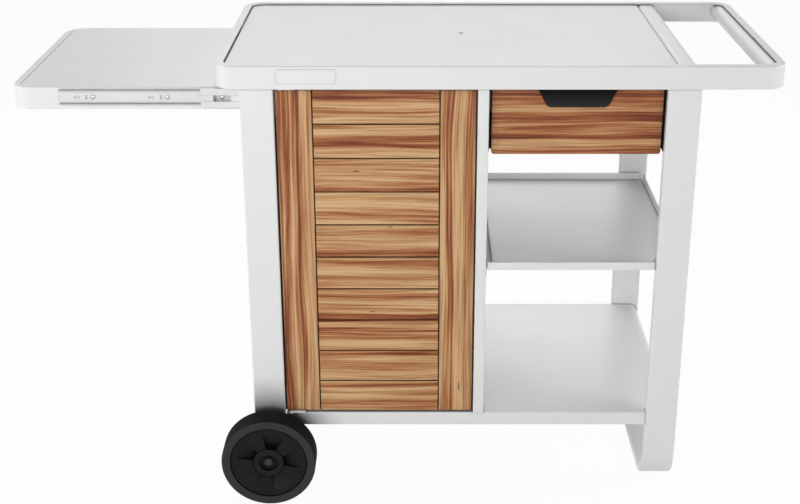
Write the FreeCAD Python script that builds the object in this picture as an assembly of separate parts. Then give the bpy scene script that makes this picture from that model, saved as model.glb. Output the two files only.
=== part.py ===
import FreeCAD, Part
import math
import os

# Grill cart with storage, all lengths in millimetres, angles in degrees.
# X runs to the cart's right, Y to its back, Z up. The origin lies on the floor, in the middle of
# the box round the cart with its side shelf pulled out.

# Top band: one folded strip round the worktop that runs on to the right as the push handle
TOP_HEIGHT = 850.0
BAND_LENGTH = 1015.0
BAND_DEPTH = 542.0
BAND_HEIGHT = 42.0
BAND_SHEET = 3.0
BAND_FLANGE = 15.0
BAND_CORNER_R = 40.0
BAND_FOLD_R = 3.0

# Worktop, the rails under it and the rail that closes it at the handle
WORKTOP_SUNK = 4.0
WORKTOP_SHEET = 2.0
WORKTOP_GAP = 2.5
WORKTOP_HOLE_R = 5.0
WORKTOP_HOLE_FROM_POST = 13.4
TOP_RAIL_HEIGHT = 23.0
TUBE_WALL = 2.0
CROSS_RAIL_WIDTH = 39.5
CROSS_RAIL_EDGE_R = 12.0
CROSS_RAIL_FROM_LEG_EDGE = 16.0
STIFFENER_COUNT = 3
STIFFENER_WIDTH = 40.0
STIFFENER_HEIGHT = 16.0
STIFFENER_BRIM = 12.0

# Handle grip
GRIP_R = 15.0
GRIP_BORE_R = 13.0
GRIP_WEB_GAP = 1.0
GRIP_UNDER_TOP = 4.0

# Legs and the floor runner, all of one flat tube
LEG_FRAME_WIDTH = 820.0
BAND_OVERHANG = 45.0
LEG_WIDTH = 60.0
LEG_THICK = 20.0
LEG_EDGE_R = 3.0
RUNNER_BEND_R = 70.0
LEFT_LEG_BELOW_AXLE = 34.0
END_CAP_FLANGE = 3.0
END_CAP_DEPTH = 15.0
CAP_FIT = 0.2

# Centre posts: the cabinet lies between the left legs and the posts
CABINET_WIDTH = 363.4
POST_WIDTH = 20.0
POST_EDGE_R = 2.0

# Bottom shelf pan
SHEET = 2.0
BOTTOM_SHELF_TOP = 160.0
BOTTOM_SHELF_TURN = 26.0
BOTTOM_SHELF_EDGE_R = 18.0
BOTTOM_SHELF_INSET = 4.0
BOTTOM_SHELF_SETBACK = 3.0
LEG_NOTCH_GAP = 2.0

# Middle shelf pan and the rails that carry it
MID_SHELF_TOP = 461.0
MID_SHELF_LIP = 16.0
MID_SHELF_FRONT_LIP = 13.0
MID_SHELF_SETBACK = 6.0
MID_SHELF_FROM_POST = 12.6
MID_SHELF_FRONT_GAP = 2.6
MID_SHELF_LEG_GAP = 1.0
MID_SHELF_RIGHT_INSET = 8.0
MID_SHELF_BACK_GAP = 2.0
MID_SHELF_CORNER_SLIT = 8.0
MID_RAIL_HEIGHT = 20.0
MID_RAIL_WIDTH = 20.0
MID_LEFT_LEDGE = 32.0

# Cabinet panels
PANEL_SHEET = 2.0
PANEL_UNDER_SLIDE_PLATE = 7.25
LEFT_PANEL_INSET = 26.0
BACK_PANEL_GAP = 4.0

# Door
DOOR_SETBACK = 5.0
DOOR_THICK = 12.0
DOOR_HINGE_GAP = 3.0
DOOR_LATCH_GAP = 2.3
DOOR_BOTTOM_GAP = 4.0
DOOR_TOP_GAP = 2.0
STILE_WIDTH = 64.0
SLAT_COUNT = 10
SLAT_GAP = 1.8
SLAT_BEVEL = 1.0
DOOR_BACK_SHEET = 1.5
DOOR_BACK_INSET = 4.0
EDGE_STRIP_THICK = 1.2
EDGE_STRIP_SETBACK = 2.0
EDGE_STRIP_LENGTH = 511.0
CATCH_HEIGHT = 40.0
CATCH_DEPTH = 14.0
CATCH_NOSE = 12.0
CATCH_PLATE = 1.0

# Door pivots: plates above and below the door, on pins just ahead of its face
PIVOT_PIN_R = 2.5
PIVOT_FIT = 0.08
PIVOT_FROM_EDGE = 9.5
PIVOT_AHEAD = 2.0
PIVOT_PLATE_LENGTH = 26.0
PIVOT_PLATE_TOP_THICK = 1.5
PIVOT_NOSE_R = 4.5
PIVOT_PIN_SHORT = 0.2

# Drawer
DRAWER_FRONT_SETBACK = 12.0
DRAWER_FRONT_THICK = 18.0
DRAWER_FRONT_HEIGHT = 121.0
DRAWER_FRONT_CORNER_R = 5.0
DRAWER_SIDE_GAP = 5.6
DRAWER_TOP_GAP = 3.0
DRAWER_BOX_LENGTH = 440.0
DRAWER_BOX_HEIGHT = 78.0
DRAWER_BOX_SHEET = 1.5
DRAWER_BOX_HEM = 6.0
DRAWER_BOX_ABOVE_FRONT = 8.0
PULL_TOP_WIDTH = 141.0
PULL_BOTTOM_WIDTH = 106.5
PULL_HEIGHT = 33.0
PULL_THICK = 3.0
PULL_PROUD = 1.5
PULL_CORNER_R = 10.0
SUPPORT_SHEET = 1.5
SUPPORT_WINDOW_HEIGHT = 22.0
SUPPORT_WINDOW_MARGIN = 26.0
SUPPORT_FROM_LEG_FRONT = 14.0
SUPPORT_TAB_WIDTH = 12.0

# Side shelf
SHELF_TRAVEL = 371.0
SHELF_LENGTH = 430.0
SHELF_SLIDE_SETBACK = 89.3
SHELF_SLIDE_ABOVE_MIDDLE = 2.2
SHELF_THICK = 41.0
SHELF_UNDER_BAND = 5.6
SHELF_CORNER_R = 40.0
SHELF_EDGE_R = 3.0
SHELF_END_WIDTH = 15.0
SHELF_SEAM_WIDTH = 1.2
SHELF_SEAM_DEPTH = 1.2
SHELF_SEAM_FROM_SIDE = 25.0
SHELF_RIB_COUNT = 2
SLIDE_PLATE_SHEET = 2.0
SLIDE_PLATE_MARGIN = 9.0

# Ball bearing slides, the same section at the side shelf and at the drawer
SLIDE_DEPTH = 12.7
SLIDE_OUTER_HEIGHT = 45.7
SLIDE_SHEET = 1.2
SLIDE_BALL_R = 1.8
SLIDE_BALL_FIT = 0.05
BALL_SIDES = 6
SLIDE_FOLD_R = 1.6
SLIDE_OUTER_WIDTH = 11.0
SLIDE_MIDDLE_BACK = 2.0
SLIDE_MIDDLE_WIDTH = 8.8
SLIDE_INNER_WIDTH = 8.5
SLIDE_LIP = 1.4
SHELF_SLIDE_LENGTH = 350.0
SHELF_SLIDE_MIDDLE_LENGTH = 281.0
DRAWER_SLIDE_LENGTH = 400.0
DRAWER_SLIDE_MIDDLE_LENGTH = 340.0
DRAWER_SLIDE_ABOVE_FRONT = 27.0
DRAWER_SLIDE_BEHIND_FRONT = 1.0
CAGE_WIDTH = 4.4
CAGE_THICK = 2.6
CAGE_LONG = 140.0
CAGE_SHORT = 88.0
CAGE_FROM_END = 4.0
BALLS_PER_CAGE = 2
SLOT_LENGTH = 10.0
SLOT_WIDTH = 4.5
SLOT_BEVEL_SHARE = 0.3
SLOT_FROM_END = (26.0, 160.0, 259.0)
UPRIGHT_SLOT_HEIGHT = 8.0
UPRIGHT_SLOT_FROM_SLOT = 22.5
SCREW_HEAD_R = 3.6
SCREW_HEAD_HEIGHT = 2.0
SCREW_FROM_SLOT = 33.5
MIDDLE_WINDOW_FROM_END = 23.0
MIDDLE_WINDOW_LENGTH = 31.0
MIDDLE_WINDOW_HEIGHT = 11.5
MIDDLE_GROOVE_DEPTH = 0.5

# Wheels and axle
WHEEL_R = 90.0
WHEEL_WIDTH = 46.0
WHEEL_LEG_GAP = 25.0
AXLE_FROM_LEG_MIDDLE = 1.0
TYRE_SHOULDER = 4.0
TYRE_BASE_R = 66.0
TYRE_GROOVE_COUNT = 2
TYRE_GROOVE_WIDTH = 3.0
TYRE_GROOVE_DEPTH = 1.0
HUB_FACE_R = 72.0
HUB_FACE_INSET = 2.0
HUB_FLANGE = 4.0
BOSS_R = 28.75
BOSS_PROUD = 1.2
BOSS_RECESS_R = 18.0
BOSS_RECESS_DEPTH = 6.0
POCKET_COUNT = 5
POCKET_ANGLE = 38.0
POCKET_START = 63.0
POCKET_OUTER_R = 62.0
POCKET_DEPTH = 11.0
BUSH_R = 10.3
BUSH_UNDER_FACE = 3.0
AXLE_R = 8.0
JOURNAL_R = 6.0
AXLE_FIT = 0.06
AXLE_CAP_R = 7.5
AXLE_CAP_HEIGHT = 3.2
AXLE_CAP_BEVEL = 1.6
END_PLAY = 0.3

# Places that several sub-parts share
BAND_RIGHT = (BAND_LENGTH + SHELF_TRAVEL) / 2.0
BAND_LEFT = BAND_RIGHT - BAND_LENGTH
BAND_BOTTOM = TOP_HEIGHT - BAND_HEIGHT
FRAME_FRONT = -BAND_DEPTH / 2.0 + BAND_SHEET
LEG_INNER = FRAME_FRONT + LEG_THICK
LEFT_LEG_X = BAND_LEFT + BAND_OVERHANG
RIGHT_LEG_X = LEFT_LEG_X + LEG_FRAME_WIDTH - LEG_WIDTH
WORKTOP_TOP = TOP_HEIGHT - WORKTOP_SUNK
WORKTOP_UNDER = WORKTOP_TOP - WORKTOP_SHEET
LEG_TOP = WORKTOP_UNDER - TOP_RAIL_HEIGHT
CROSS_RAIL_X = RIGHT_LEG_X + CROSS_RAIL_FROM_LEG_EDGE
POST_LEFT = LEFT_LEG_X + LEG_WIDTH + CABINET_WIDTH
POST_RIGHT = POST_LEFT + POST_WIDTH
PARTITION_X = POST_RIGHT - PANEL_SHEET
AXLE_X = LEFT_LEG_X + LEG_WIDTH / 2.0 + AXLE_FROM_LEG_MIDDLE
LEFT_LEG_BOTTOM = WHEEL_R - LEFT_LEG_BELOW_AXLE
WHEEL_INNER_Y = FRAME_FRONT - WHEEL_LEG_GAP
SLIDE_SEAT = LEG_INNER + SLIDE_PLATE_SHEET
SHELF_HALF_DEPTH = -(SLIDE_SEAT + SLIDE_DEPTH)
SHELF_TOP = BAND_BOTTOM - SHELF_UNDER_BAND
SHELF_SLIDE_CENTRE = SHELF_TOP - SHELF_THICK / 2.0 + SHELF_SLIDE_ABOVE_MIDDLE
SHELF_CLOSED_LEFT = BAND_LEFT
SHELF_OPEN_LEFT = SHELF_CLOSED_LEFT - SHELF_TRAVEL
SHELF_SLIDE_LEFT = SHELF_CLOSED_LEFT + SHELF_SLIDE_SETBACK
SLIDE_PLATE_HALF = SLIDE_OUTER_HEIGHT / 2.0 + SLIDE_PLATE_MARGIN
PANEL_TOP = SHELF_SLIDE_CENTRE - SLIDE_PLATE_HALF - PANEL_UNDER_SLIDE_PLATE
DRAWER_SEAT_LEFT = POST_RIGHT + SUPPORT_SHEET
DRAWER_SEAT_RIGHT = RIGHT_LEG_X - SUPPORT_SHEET
DRAWER_MIDDLE_X = (DRAWER_SEAT_LEFT + DRAWER_SEAT_RIGHT) / 2.0
DRAWER_FRONT_BACK = FRAME_FRONT + DRAWER_FRONT_SETBACK + DRAWER_FRONT_THICK
DRAWER_SLIDE_Y = DRAWER_FRONT_BACK + DRAWER_SLIDE_BEHIND_FRONT
DRAWER_FRONT_TOP = BAND_BOTTOM - DRAWER_TOP_GAP
DRAWER_FRONT_BOTTOM = DRAWER_FRONT_TOP - DRAWER_FRONT_HEIGHT
DRAWER_BOX_BOTTOM = DRAWER_FRONT_BOTTOM + DRAWER_BOX_ABOVE_FRONT
DRAWER_SLIDE_CENTRE = DRAWER_FRONT_BOTTOM + DRAWER_SLIDE_ABOVE_FRONT
SUPPORT_WINDOW_BOTTOM = DRAWER_SLIDE_CENTRE + SLIDE_OUTER_HEIGHT / 2.0
SUPPORT_WINDOW_TOP = SUPPORT_WINDOW_BOTTOM + SUPPORT_WINDOW_HEIGHT
DOOR_LEFT = LEFT_LEG_X + LEG_WIDTH + DOOR_HINGE_GAP
DOOR_RIGHT = POST_LEFT - DOOR_LATCH_GAP
DOOR_FACE = FRAME_FRONT + DOOR_SETBACK
DOOR_BOTTOM = BOTTOM_SHELF_TOP + DOOR_BOTTOM_GAP
DOOR_TOP = BAND_BOTTOM - DOOR_TOP_GAP
PIVOT_X = DOOR_LEFT + PIVOT_FROM_EDGE
PIVOT_Y = DOOR_FACE - PIVOT_AHEAD

FAR = 4000.0


def vec(x, y, z):
    """Point or direction from its three coordinates."""
    return FreeCAD.Vector(x, y, z)


def block(x0, x1, y0, y1, z0, z1):
    """Plain block between the given limits."""
    return Part.makeBox(x1 - x0, y1 - y0, z1 - z0, vec(x0, y0, z0))


def mirrored_y(shape):
    """Copy of a shape on the other side of the cart's middle plane, front to back."""
    return shape.mirror(vec(0, 0, 0), vec(0, 1, 0))


def joined(shapes):
    """Overlapping or touching solids made into one."""
    result = shapes[0]
    for shape in shapes[1:]:
        result = result.fuse(shape)
    return result.removeSplitter()


def group(shapes):
    """Separate solids kept side by side in one sub-part."""
    solids = []
    for shape in shapes:
        solids.extend(shape.Solids)
    return Part.makeCompound(solids)


def rounded_outline(points, radii):
    """Closed wire through corner points in one plane, each corner rounded to its own radius."""
    edges = []
    count = len(points)
    starts = []
    ends = []
    arcs = []
    for index in range(count):
        corner = points[index]
        before = (points[index - 1] - corner).normalize()
        after = (points[(index + 1) % count] - corner).normalize()
        radius = radii[index]
        if radius <= 0.0:
            starts.append(corner)
            ends.append(corner)
            arcs.append(None)
            continue
        half = math.acos(max(-1.0, min(1.0, before.dot(after)))) / 2.0
        reach = radius / math.tan(half)
        middle_direction = (before + after).normalize()
        middle = corner + middle_direction * (radius / math.sin(half) - radius)
        start = corner + before * reach
        end = corner + after * reach
        starts.append(start)
        ends.append(end)
        arcs.append(Part.Arc(start, middle, end).toShape())
    for index in range(count):
        if arcs[index] is not None:
            edges.append(arcs[index])
        following = (index + 1) % count
        if (ends[index] - starts[following]).Length > 1e-6:
            edges.append(Part.LineSegment(ends[index], starts[following]).toShape())
    return Part.Wire(edges)


def plan_face(x0, x1, y0, y1, left_r, right_r, z):
    """Level rectangle with one corner radius at its left end and one at its right end."""
    points = [vec(x0, y0, z), vec(x1, y0, z), vec(x1, y1, z), vec(x0, y1, z)]
    return Part.Face(rounded_outline(points, [left_r, right_r, right_r, left_r]))


def tube_section(a0, a1, b0, b1, radius, to_point):
    """Face of a rounded rectangle; to_point turns its two coordinates into a point in space."""
    points = [to_point(a0, b0), to_point(a1, b0), to_point(a1, b1), to_point(a0, b1)]
    return Part.Face(rounded_outline(points, [radius] * 4))


def hollow_tube(a0, a1, b0, b1, radius, wall, to_point, run):
    """Straight rectangular tube with rounded edges and open ends; its hollow has plain corners."""
    outer = tube_section(a0, a1, b0, b1, radius, to_point).extrude(run)
    inner = tube_section(a0 + wall, a1 - wall, b0 + wall, b1 - wall, 0.0, to_point).extrude(run)
    return outer.cut(inner)


def post_tube(x0, x1, y0, y1, z0, z1, radius):
    """Upright tube."""
    return hollow_tube(x0, x1, y0, y1, radius, TUBE_WALL, lambda a, b: vec(a, b, z0), vec(0, 0, z1 - z0))


def long_tube(x0, x1, y0, y1, z0, z1, radius):
    """Level tube along X."""
    return hollow_tube(y0, y1, z0, z1, radius, TUBE_WALL, lambda a, b: vec(x0, a, b), vec(x1 - x0, 0, 0))


def deep_tube(x0, x1, y0, y1, z0, z1, radius):
    """Level tube along Y."""
    return hollow_tube(x0, x1, z0, z1, radius, TUBE_WALL, lambda a, b: vec(a, y0, b), vec(0, y1 - y0, 0))


def round_bar(centre, axis, radius, length):
    """Cylinder from a centre point along an axis."""
    return Part.makeCylinder(radius, length, centre, axis)


# The top

def top_band():
    """Folded strip: an upright web with a flange turned in at the top, bent round four corners."""
    half = BAND_DEPTH / 2.0
    outer_face = plan_face(BAND_LEFT, BAND_RIGHT, -half, half, BAND_CORNER_R, BAND_CORNER_R, BAND_BOTTOM)
    outer = outer_face.extrude(vec(0, 0, BAND_HEIGHT))
    rim = [edge for edge in outer.Edges if edge.BoundBox.ZMin > TOP_HEIGHT - 1e-3]
    outer = outer.makeFillet(BAND_FOLD_R, rim)
    inner_r = BAND_CORNER_R - BAND_SHEET
    web = plan_face(BAND_LEFT + BAND_SHEET, BAND_RIGHT - BAND_SHEET, -half + BAND_SHEET, half - BAND_SHEET,
                    inner_r, inner_r, BAND_BOTTOM)
    under_flange = web.extrude(vec(0, 0, BAND_HEIGHT - BAND_SHEET))
    mouth_r = BAND_CORNER_R - BAND_FLANGE
    mouth = plan_face(BAND_LEFT + BAND_FLANGE, BAND_RIGHT - BAND_FLANGE, -half + BAND_FLANGE,
                      half - BAND_FLANGE, mouth_r, mouth_r, BAND_BOTTOM)
    return outer.cut(under_flange).cut(mouth.extrude(vec(0, 0, BAND_HEIGHT)))


def worktop_panel():
    """Flat sheet inside the band's flange, with one small round hole."""
    inset = BAND_FLANGE + WORKTOP_GAP
    half = BAND_DEPTH / 2.0 - inset
    sheet = plan_face(BAND_LEFT + inset, CROSS_RAIL_X, -half, half, BAND_CORNER_R - inset, 0.0,
                      WORKTOP_UNDER).extrude(vec(0, 0, WORKTOP_SHEET))
    hole_x = POST_LEFT - WORKTOP_HOLE_FROM_POST - WORKTOP_HOLE_R * 2.0
    hole = round_bar(vec(hole_x, 0, WORKTOP_UNDER), vec(0, 0, 1), WORKTOP_HOLE_R, WORKTOP_SHEET)
    return sheet.cut(hole)


def worktop_stiffeners():
    """Hat sections under the worktop, from the front rail to the back rail."""
    hats = []
    space = CROSS_RAIL_X - BAND_LEFT
    for index in range(STIFFENER_COUNT):
        middle = BAND_LEFT + space * (index + 0.5) / STIFFENER_COUNT - STIFFENER_WIDTH
        left = middle - STIFFENER_WIDTH / 2.0
        right = middle + STIFFENER_WIDTH / 2.0
        top = WORKTOP_UNDER
        low = top - STIFFENER_HEIGHT
        crown = block(left, right, LEG_INNER, -LEG_INNER, low, top)
        hollow = block(left + SHEET, right - SHEET, LEG_INNER, -LEG_INNER, low + SHEET, top)
        brims = block(left - STIFFENER_BRIM, right + STIFFENER_BRIM, LEG_INNER, -LEG_INNER, top - SHEET, top)
        hats.append(joined([crown, brims]).cut(hollow))
    return group(hats)


def front_top_rail():
    """Tube under the worktop's front edge, on the legs and the post."""
    return long_tube(BAND_LEFT + BAND_CORNER_R, CROSS_RAIL_X, FRAME_FRONT, LEG_INNER, LEG_TOP,
                     WORKTOP_UNDER, POST_EDGE_R)


def top_cross_rail():
    """Tube across the cart that closes the worktop at the hand opening, rounded along its top."""
    x1 = CROSS_RAIL_X + CROSS_RAIL_WIDTH
    end = vec(0, -2.0 * FRAME_FRONT, 0)

    def section(wall, radius):
        low = LEG_TOP + wall
        high = WORKTOP_TOP - wall
        points = [vec(CROSS_RAIL_X + wall, FRAME_FRONT, low), vec(x1 - wall, FRAME_FRONT, low),
                  vec(x1 - wall, FRAME_FRONT, high), vec(CROSS_RAIL_X + wall, FRAME_FRONT, high)]
        return Part.Face(rounded_outline(points, [0.0, 0.0, radius, radius]))

    outer = section(0.0, CROSS_RAIL_EDGE_R).extrude(end)
    return outer.cut(section(TUBE_WALL, CROSS_RAIL_EDGE_R - TUBE_WALL).extrude(end))


def handle_grip():
    """Round tube under the band's end flange, from web to web."""
    x = BAND_RIGHT - BAND_SHEET - GRIP_WEB_GAP - GRIP_R
    z = TOP_HEIGHT - GRIP_UNDER_TOP - GRIP_R
    centre = vec(x, FRAME_FRONT, z)
    length = -2.0 * FRAME_FRONT
    corner_cut = band_corner_core()
    tube = round_bar(centre, vec(0, 1, 0), GRIP_R, length)
    bore = round_bar(centre, vec(0, 1, 0), GRIP_BORE_R, length)
    return tube.cut(bore).common(corner_cut)


def band_corner_core():
    """Space inside the band's web, which the grip's ends are cut to."""
    inner_r = BAND_CORNER_R - BAND_SHEET
    face = plan_face(BAND_LEFT + BAND_SHEET, BAND_RIGHT - BAND_SHEET, FRAME_FRONT, -FRAME_FRONT, inner_r,
                     inner_r, BAND_BOTTOM)
    return face.extrude(vec(0, 0, BAND_HEIGHT))


# Legs, posts and axle

def right_side_frame():
    """Two legs and a floor runner, bent from one flat tube into a sled loop."""
    bend_y = FRAME_FRONT + RUNNER_BEND_R
    bend_axis = vec(0, bend_y, RUNNER_BEND_R)

    def sled(wall, radius):
        x0 = RIGHT_LEG_X + wall
        x1 = RIGHT_LEG_X + LEG_WIDTH - wall
        leg_section = tube_section(x0, x1, FRAME_FRONT + wall, LEG_INNER - wall, radius,
                                   lambda a, b: vec(a, b, RUNNER_BEND_R))
        run_section = tube_section(x0, x1, wall, LEG_THICK - wall, radius, lambda a, b: vec(a, bend_y, b))
        leg = leg_section.extrude(vec(0, 0, LEG_TOP - RUNNER_BEND_R))
        bend = leg_section.revolve(bend_axis, vec(1, 0, 0), 90.0)
        runner = run_section.extrude(vec(0, -2.0 * bend_y, 0))
        return joined([leg, bend, runner, mirrored_y(bend), mirrored_y(leg)])

    return sled(0.0, LEG_EDGE_R).cut(sled(TUBE_WALL, 0.0))


def left_front_leg():
    """Leg behind the front wheel, bored for the axle, open at both ends."""
    leg = post_tube(LEFT_LEG_X, LEFT_LEG_X + LEG_WIDTH, FRAME_FRONT, LEG_INNER, LEFT_LEG_BOTTOM, LEG_TOP,
                    LEG_EDGE_R)
    bore = round_bar(vec(AXLE_X, FRAME_FRONT - 1.0, WHEEL_R), vec(0, 1, 0), AXLE_R + AXLE_FIT,
                     LEG_THICK + 2.0)
    return leg.cut(bore)


def leg_end_cap():
    """Plastic plug in the lower end of a left leg."""
    x1 = LEFT_LEG_X + LEG_WIDTH
    base = tube_section(LEFT_LEG_X, x1, FRAME_FRONT, LEG_INNER, LEG_EDGE_R,
                        lambda a, b: vec(a, b, LEFT_LEG_BOTTOM - END_CAP_FLANGE))
    inset = TUBE_WALL + CAP_FIT
    plug = tube_section(LEFT_LEG_X + inset, x1 - inset, FRAME_FRONT + inset, LEG_INNER - inset,
                        0.0, lambda a, b: vec(a, b, LEFT_LEG_BOTTOM))
    plug = plug.extrude(vec(0, 0, END_CAP_DEPTH))
    wall = inset + TUBE_WALL
    hollow = block(LEFT_LEG_X + wall, x1 - wall, FRAME_FRONT + wall, LEG_INNER - wall,
                   LEFT_LEG_BOTTOM, LEFT_LEG_BOTTOM + END_CAP_DEPTH)
    return joined([base.extrude(vec(0, 0, END_CAP_FLANGE)), plug]).cut(hollow)


def centre_front_post():
    """Slim tube between the door and the open bay, on the bottom shelf."""
    return post_tube(POST_LEFT, POST_RIGHT, FRAME_FRONT, LEG_INNER, BOTTOM_SHELF_TOP, LEG_TOP, POST_EDGE_R)


def centre_rear_post():
    """Slim tube at the back, hung from the back rail and fixed to the bottom shelf's turned edge."""
    low = BOTTOM_SHELF_TOP - BOTTOM_SHELF_TURN
    return post_tube(POST_LEFT, POST_RIGHT, -LEG_INNER, -FRAME_FRONT, low, LEG_TOP, POST_EDGE_R)


def axle():
    """Steel bar through both left legs, turned down at its ends for the wheels."""
    y0 = WHEEL_INNER_Y + END_PLAY
    body = round_bar(vec(AXLE_X, y0, WHEEL_R), vec(0, 1, 0), AXLE_R, -2.0 * y0)
    end_y = journal_end_y()
    journal = round_bar(vec(AXLE_X, end_y, WHEEL_R), vec(0, 1, 0), JOURNAL_R, -2.0 * end_y)
    return joined([body, journal])


def journal_end_y():
    """Where the axle stops, just past the bush's outer end."""
    return hub_face_y() + BUSH_UNDER_FACE - END_PLAY


def hub_face_y():
    """Outer face of the front wheel's hub."""
    return WHEEL_INNER_Y - WHEEL_WIDTH + HUB_FACE_INSET


def axle_cap():
    """Bevelled cap on the axle's end, wider than the bush's bore, so that it holds the wheel on."""
    y = journal_end_y() - AXLE_CAP_HEIGHT
    cap = round_bar(vec(AXLE_X, y, WHEEL_R), vec(0, 1, 0), AXLE_CAP_R, AXLE_CAP_HEIGHT)
    rim = [edge for edge in cap.Edges if edge.BoundBox.YMax < y + 1e-3]
    return cap.makeChamfer(AXLE_CAP_BEVEL, rim)


# Shelves and panels

def bottom_shelf():
    """Pan with its front edge turned down between the legs and its sides rolled over."""
    low = BOTTOM_SHELF_TOP - BOTTOM_SHELF_TURN
    x0 = LEFT_LEG_X + BOTTOM_SHELF_INSET
    x1 = RIGHT_LEG_X + LEG_WIDTH - BOTTOM_SHELF_INSET
    y0 = LEG_INNER
    depth = vec(0, -2.0 * LEG_INNER, 0)

    def arch(wall):
        points = [vec(x0 + wall, y0, low), vec(x1 - wall, y0, low),
                  vec(x1 - wall, y0, BOTTOM_SHELF_TOP - wall), vec(x0 + wall, y0, BOTTOM_SHELF_TOP - wall)]
        radius = BOTTOM_SHELF_EDGE_R - wall
        return Part.Face(rounded_outline(points, [0.0, 0.0, radius, radius]))

    solid = arch(0.0).extrude(depth)
    hollow = arch(SHEET).extrude(depth - vec(0, SHEET, 0))
    main = solid.cut(hollow)
    tongue_x0 = LEFT_LEG_X + LEG_WIDTH + LEG_NOTCH_GAP
    tongue_x1 = RIGHT_LEG_X - LEG_NOTCH_GAP
    front = FRAME_FRONT + BOTTOM_SHELF_SETBACK
    tongue = block(tongue_x0, tongue_x1, front, LEG_INNER, low, BOTTOM_SHELF_TOP)
    fold = [edge for edge in tongue.Edges
            if edge.BoundBox.ZMin > BOTTOM_SHELF_TOP - 1e-3 and edge.BoundBox.YMax < front + 1e-3]
    tongue = tongue.makeFillet(LEG_EDGE_R, fold)
    tongue = tongue.cut(block(tongue_x0, tongue_x1, front + SHEET, LEG_INNER, low, BOTTOM_SHELF_TOP - SHEET))
    return joined([main, tongue])


def mid_shelf():
    """Tray in the open bay: lips turned up all round, a tab forward between post and leg."""
    floor_low = MID_SHELF_TOP - SHEET
    lip_top = MID_SHELF_TOP + MID_SHELF_LIP
    x0 = POST_RIGHT + MID_SHELF_FROM_POST
    x1 = RIGHT_LEG_X + LEG_WIDTH - MID_SHELF_RIGHT_INSET
    y0 = LEG_INNER
    y1 = -LEG_INNER - MID_SHELF_BACK_GAP
    tab_x0 = POST_RIGHT + MID_SHELF_FRONT_GAP
    tab_x1 = RIGHT_LEG_X - MID_SHELF_LEG_GAP
    front = FRAME_FRONT + MID_SHELF_SETBACK
    sheets = [
        block(x0, x1, y0 + LEG_NOTCH_GAP, y1, floor_low, MID_SHELF_TOP),
        block(tab_x0, tab_x1, front, y0 + LEG_NOTCH_GAP, floor_low, MID_SHELF_TOP),
        block(tab_x0, tab_x1, front, front + SHEET, floor_low, MID_SHELF_TOP + MID_SHELF_FRONT_LIP),
        block(x0, x0 + SHEET, y0 + LEG_NOTCH_GAP, y1, floor_low, lip_top),
        block(x1 - SHEET, x1, y0 + LEG_NOTCH_GAP, y1 - MID_SHELF_CORNER_SLIT, floor_low, lip_top),
        block(x0, x1 - MID_SHELF_CORNER_SLIT, y1 - SHEET, y1, floor_low, lip_top),
        block(tab_x1 - SHEET, x1, y0 + LEG_NOTCH_GAP, y0 + LEG_NOTCH_GAP + SHEET, floor_low, lip_top),
    ]
    return joined(sheets)


def mid_shelf_rails():
    """Angle on the partition and tube between the right legs, under the middle shelf."""
    top = MID_SHELF_TOP - SHEET
    low = top - MID_RAIL_HEIGHT
    y0 = LEG_INNER
    ledge = block(POST_RIGHT, POST_RIGHT + MID_LEFT_LEDGE, y0 + SHEET, -y0 - SHEET, top - SHEET, top)
    leaf = block(POST_RIGHT, POST_RIGHT + SHEET, y0 + SHEET, -y0 - SHEET, low, top)
    x1 = RIGHT_LEG_X + LEG_WIDTH - 2.0 * MID_SHELF_RIGHT_INSET
    tube = deep_tube(x1 - MID_RAIL_WIDTH, x1, y0, -y0, low, top, POST_EDGE_R)
    return group([joined([ledge, leaf]), tube])


def partition_panel():
    """Sheet between the cabinet and the open bay, from the bottom shelf to the top rails."""
    return block(PARTITION_X, POST_RIGHT, LEG_INNER, -LEG_INNER, BOTTOM_SHELF_TOP, LEG_TOP)


def cabinet_left_panel():
    """Sheet between the left legs, low enough for the side shelf to pass above it."""
    x = LEFT_LEG_X + LEFT_PANEL_INSET
    return block(x, x + PANEL_SHEET, LEG_INNER, -LEG_INNER, BOTTOM_SHELF_TOP, PANEL_TOP)


def cabinet_back_panel():
    """Sheet that closes the cabinet's back, from the left panel to the partition."""
    x = LEFT_LEG_X + LEFT_PANEL_INSET + PANEL_SHEET
    y1 = -LEG_INNER - BACK_PANEL_GAP
    return block(x, PARTITION_X, y1 - PANEL_SHEET, y1, BOTTOM_SHELF_TOP, PANEL_TOP)


# Ball bearing slides. Each member is drawn along +X from 0, with its depth along +Y from the
# fixed side and its height about Z = 0, and then set in place.

def slide_heights():
    """Half heights of the outer, middle and inner members, stepped by the ball rows."""
    ball_row = 2.0 * (SLIDE_BALL_R + SLIDE_BALL_FIT)
    outer = SLIDE_OUTER_HEIGHT / 2.0
    middle = outer - SLIDE_SHEET - ball_row
    inner = middle - SLIDE_SHEET - ball_row
    return outer, middle, inner


def slide_channel(length, y0, y1, half, open_side, lip):
    """Channel with rounded folds, open towards +Y or -Y, its edges turned in by a lip."""
    shell = hollow_tube(y0, y1, -half, half, SLIDE_FOLD_R, SLIDE_SHEET, lambda a, b: vec(0, a, b),
                        vec(length, 0, 0))
    mouth_half = half - SLIDE_SHEET - lip
    middle_y = (y0 + y1) / 2.0
    if open_side > 0:
        mouth = block(0, length, middle_y, y1 + 1.0, -mouth_half, mouth_half)
    else:
        mouth = block(0, length, y0 - 1.0, middle_y, -mouth_half, mouth_half)
    return shell.cut(mouth)


def slot_cutter(x, length, height, y0, y1):
    """Level slot with bevelled corners, through the sheet between two depths."""
    half = height / 2.0
    bevel = height * SLOT_BEVEL_SHARE
    x1 = x + length
    outline = [(x, bevel - half), (x + bevel, -half), (x1 - bevel, -half), (x1, bevel - half),
               (x1, half - bevel), (x1 - bevel, half), (x + bevel, half), (x, half - bevel)]
    corners = [vec(along, y0, up) for along, up in outline]
    return Part.Face(Part.makePolygon(corners + [corners[0]])).extrude(vec(0, y1 - y0, 0))


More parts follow.
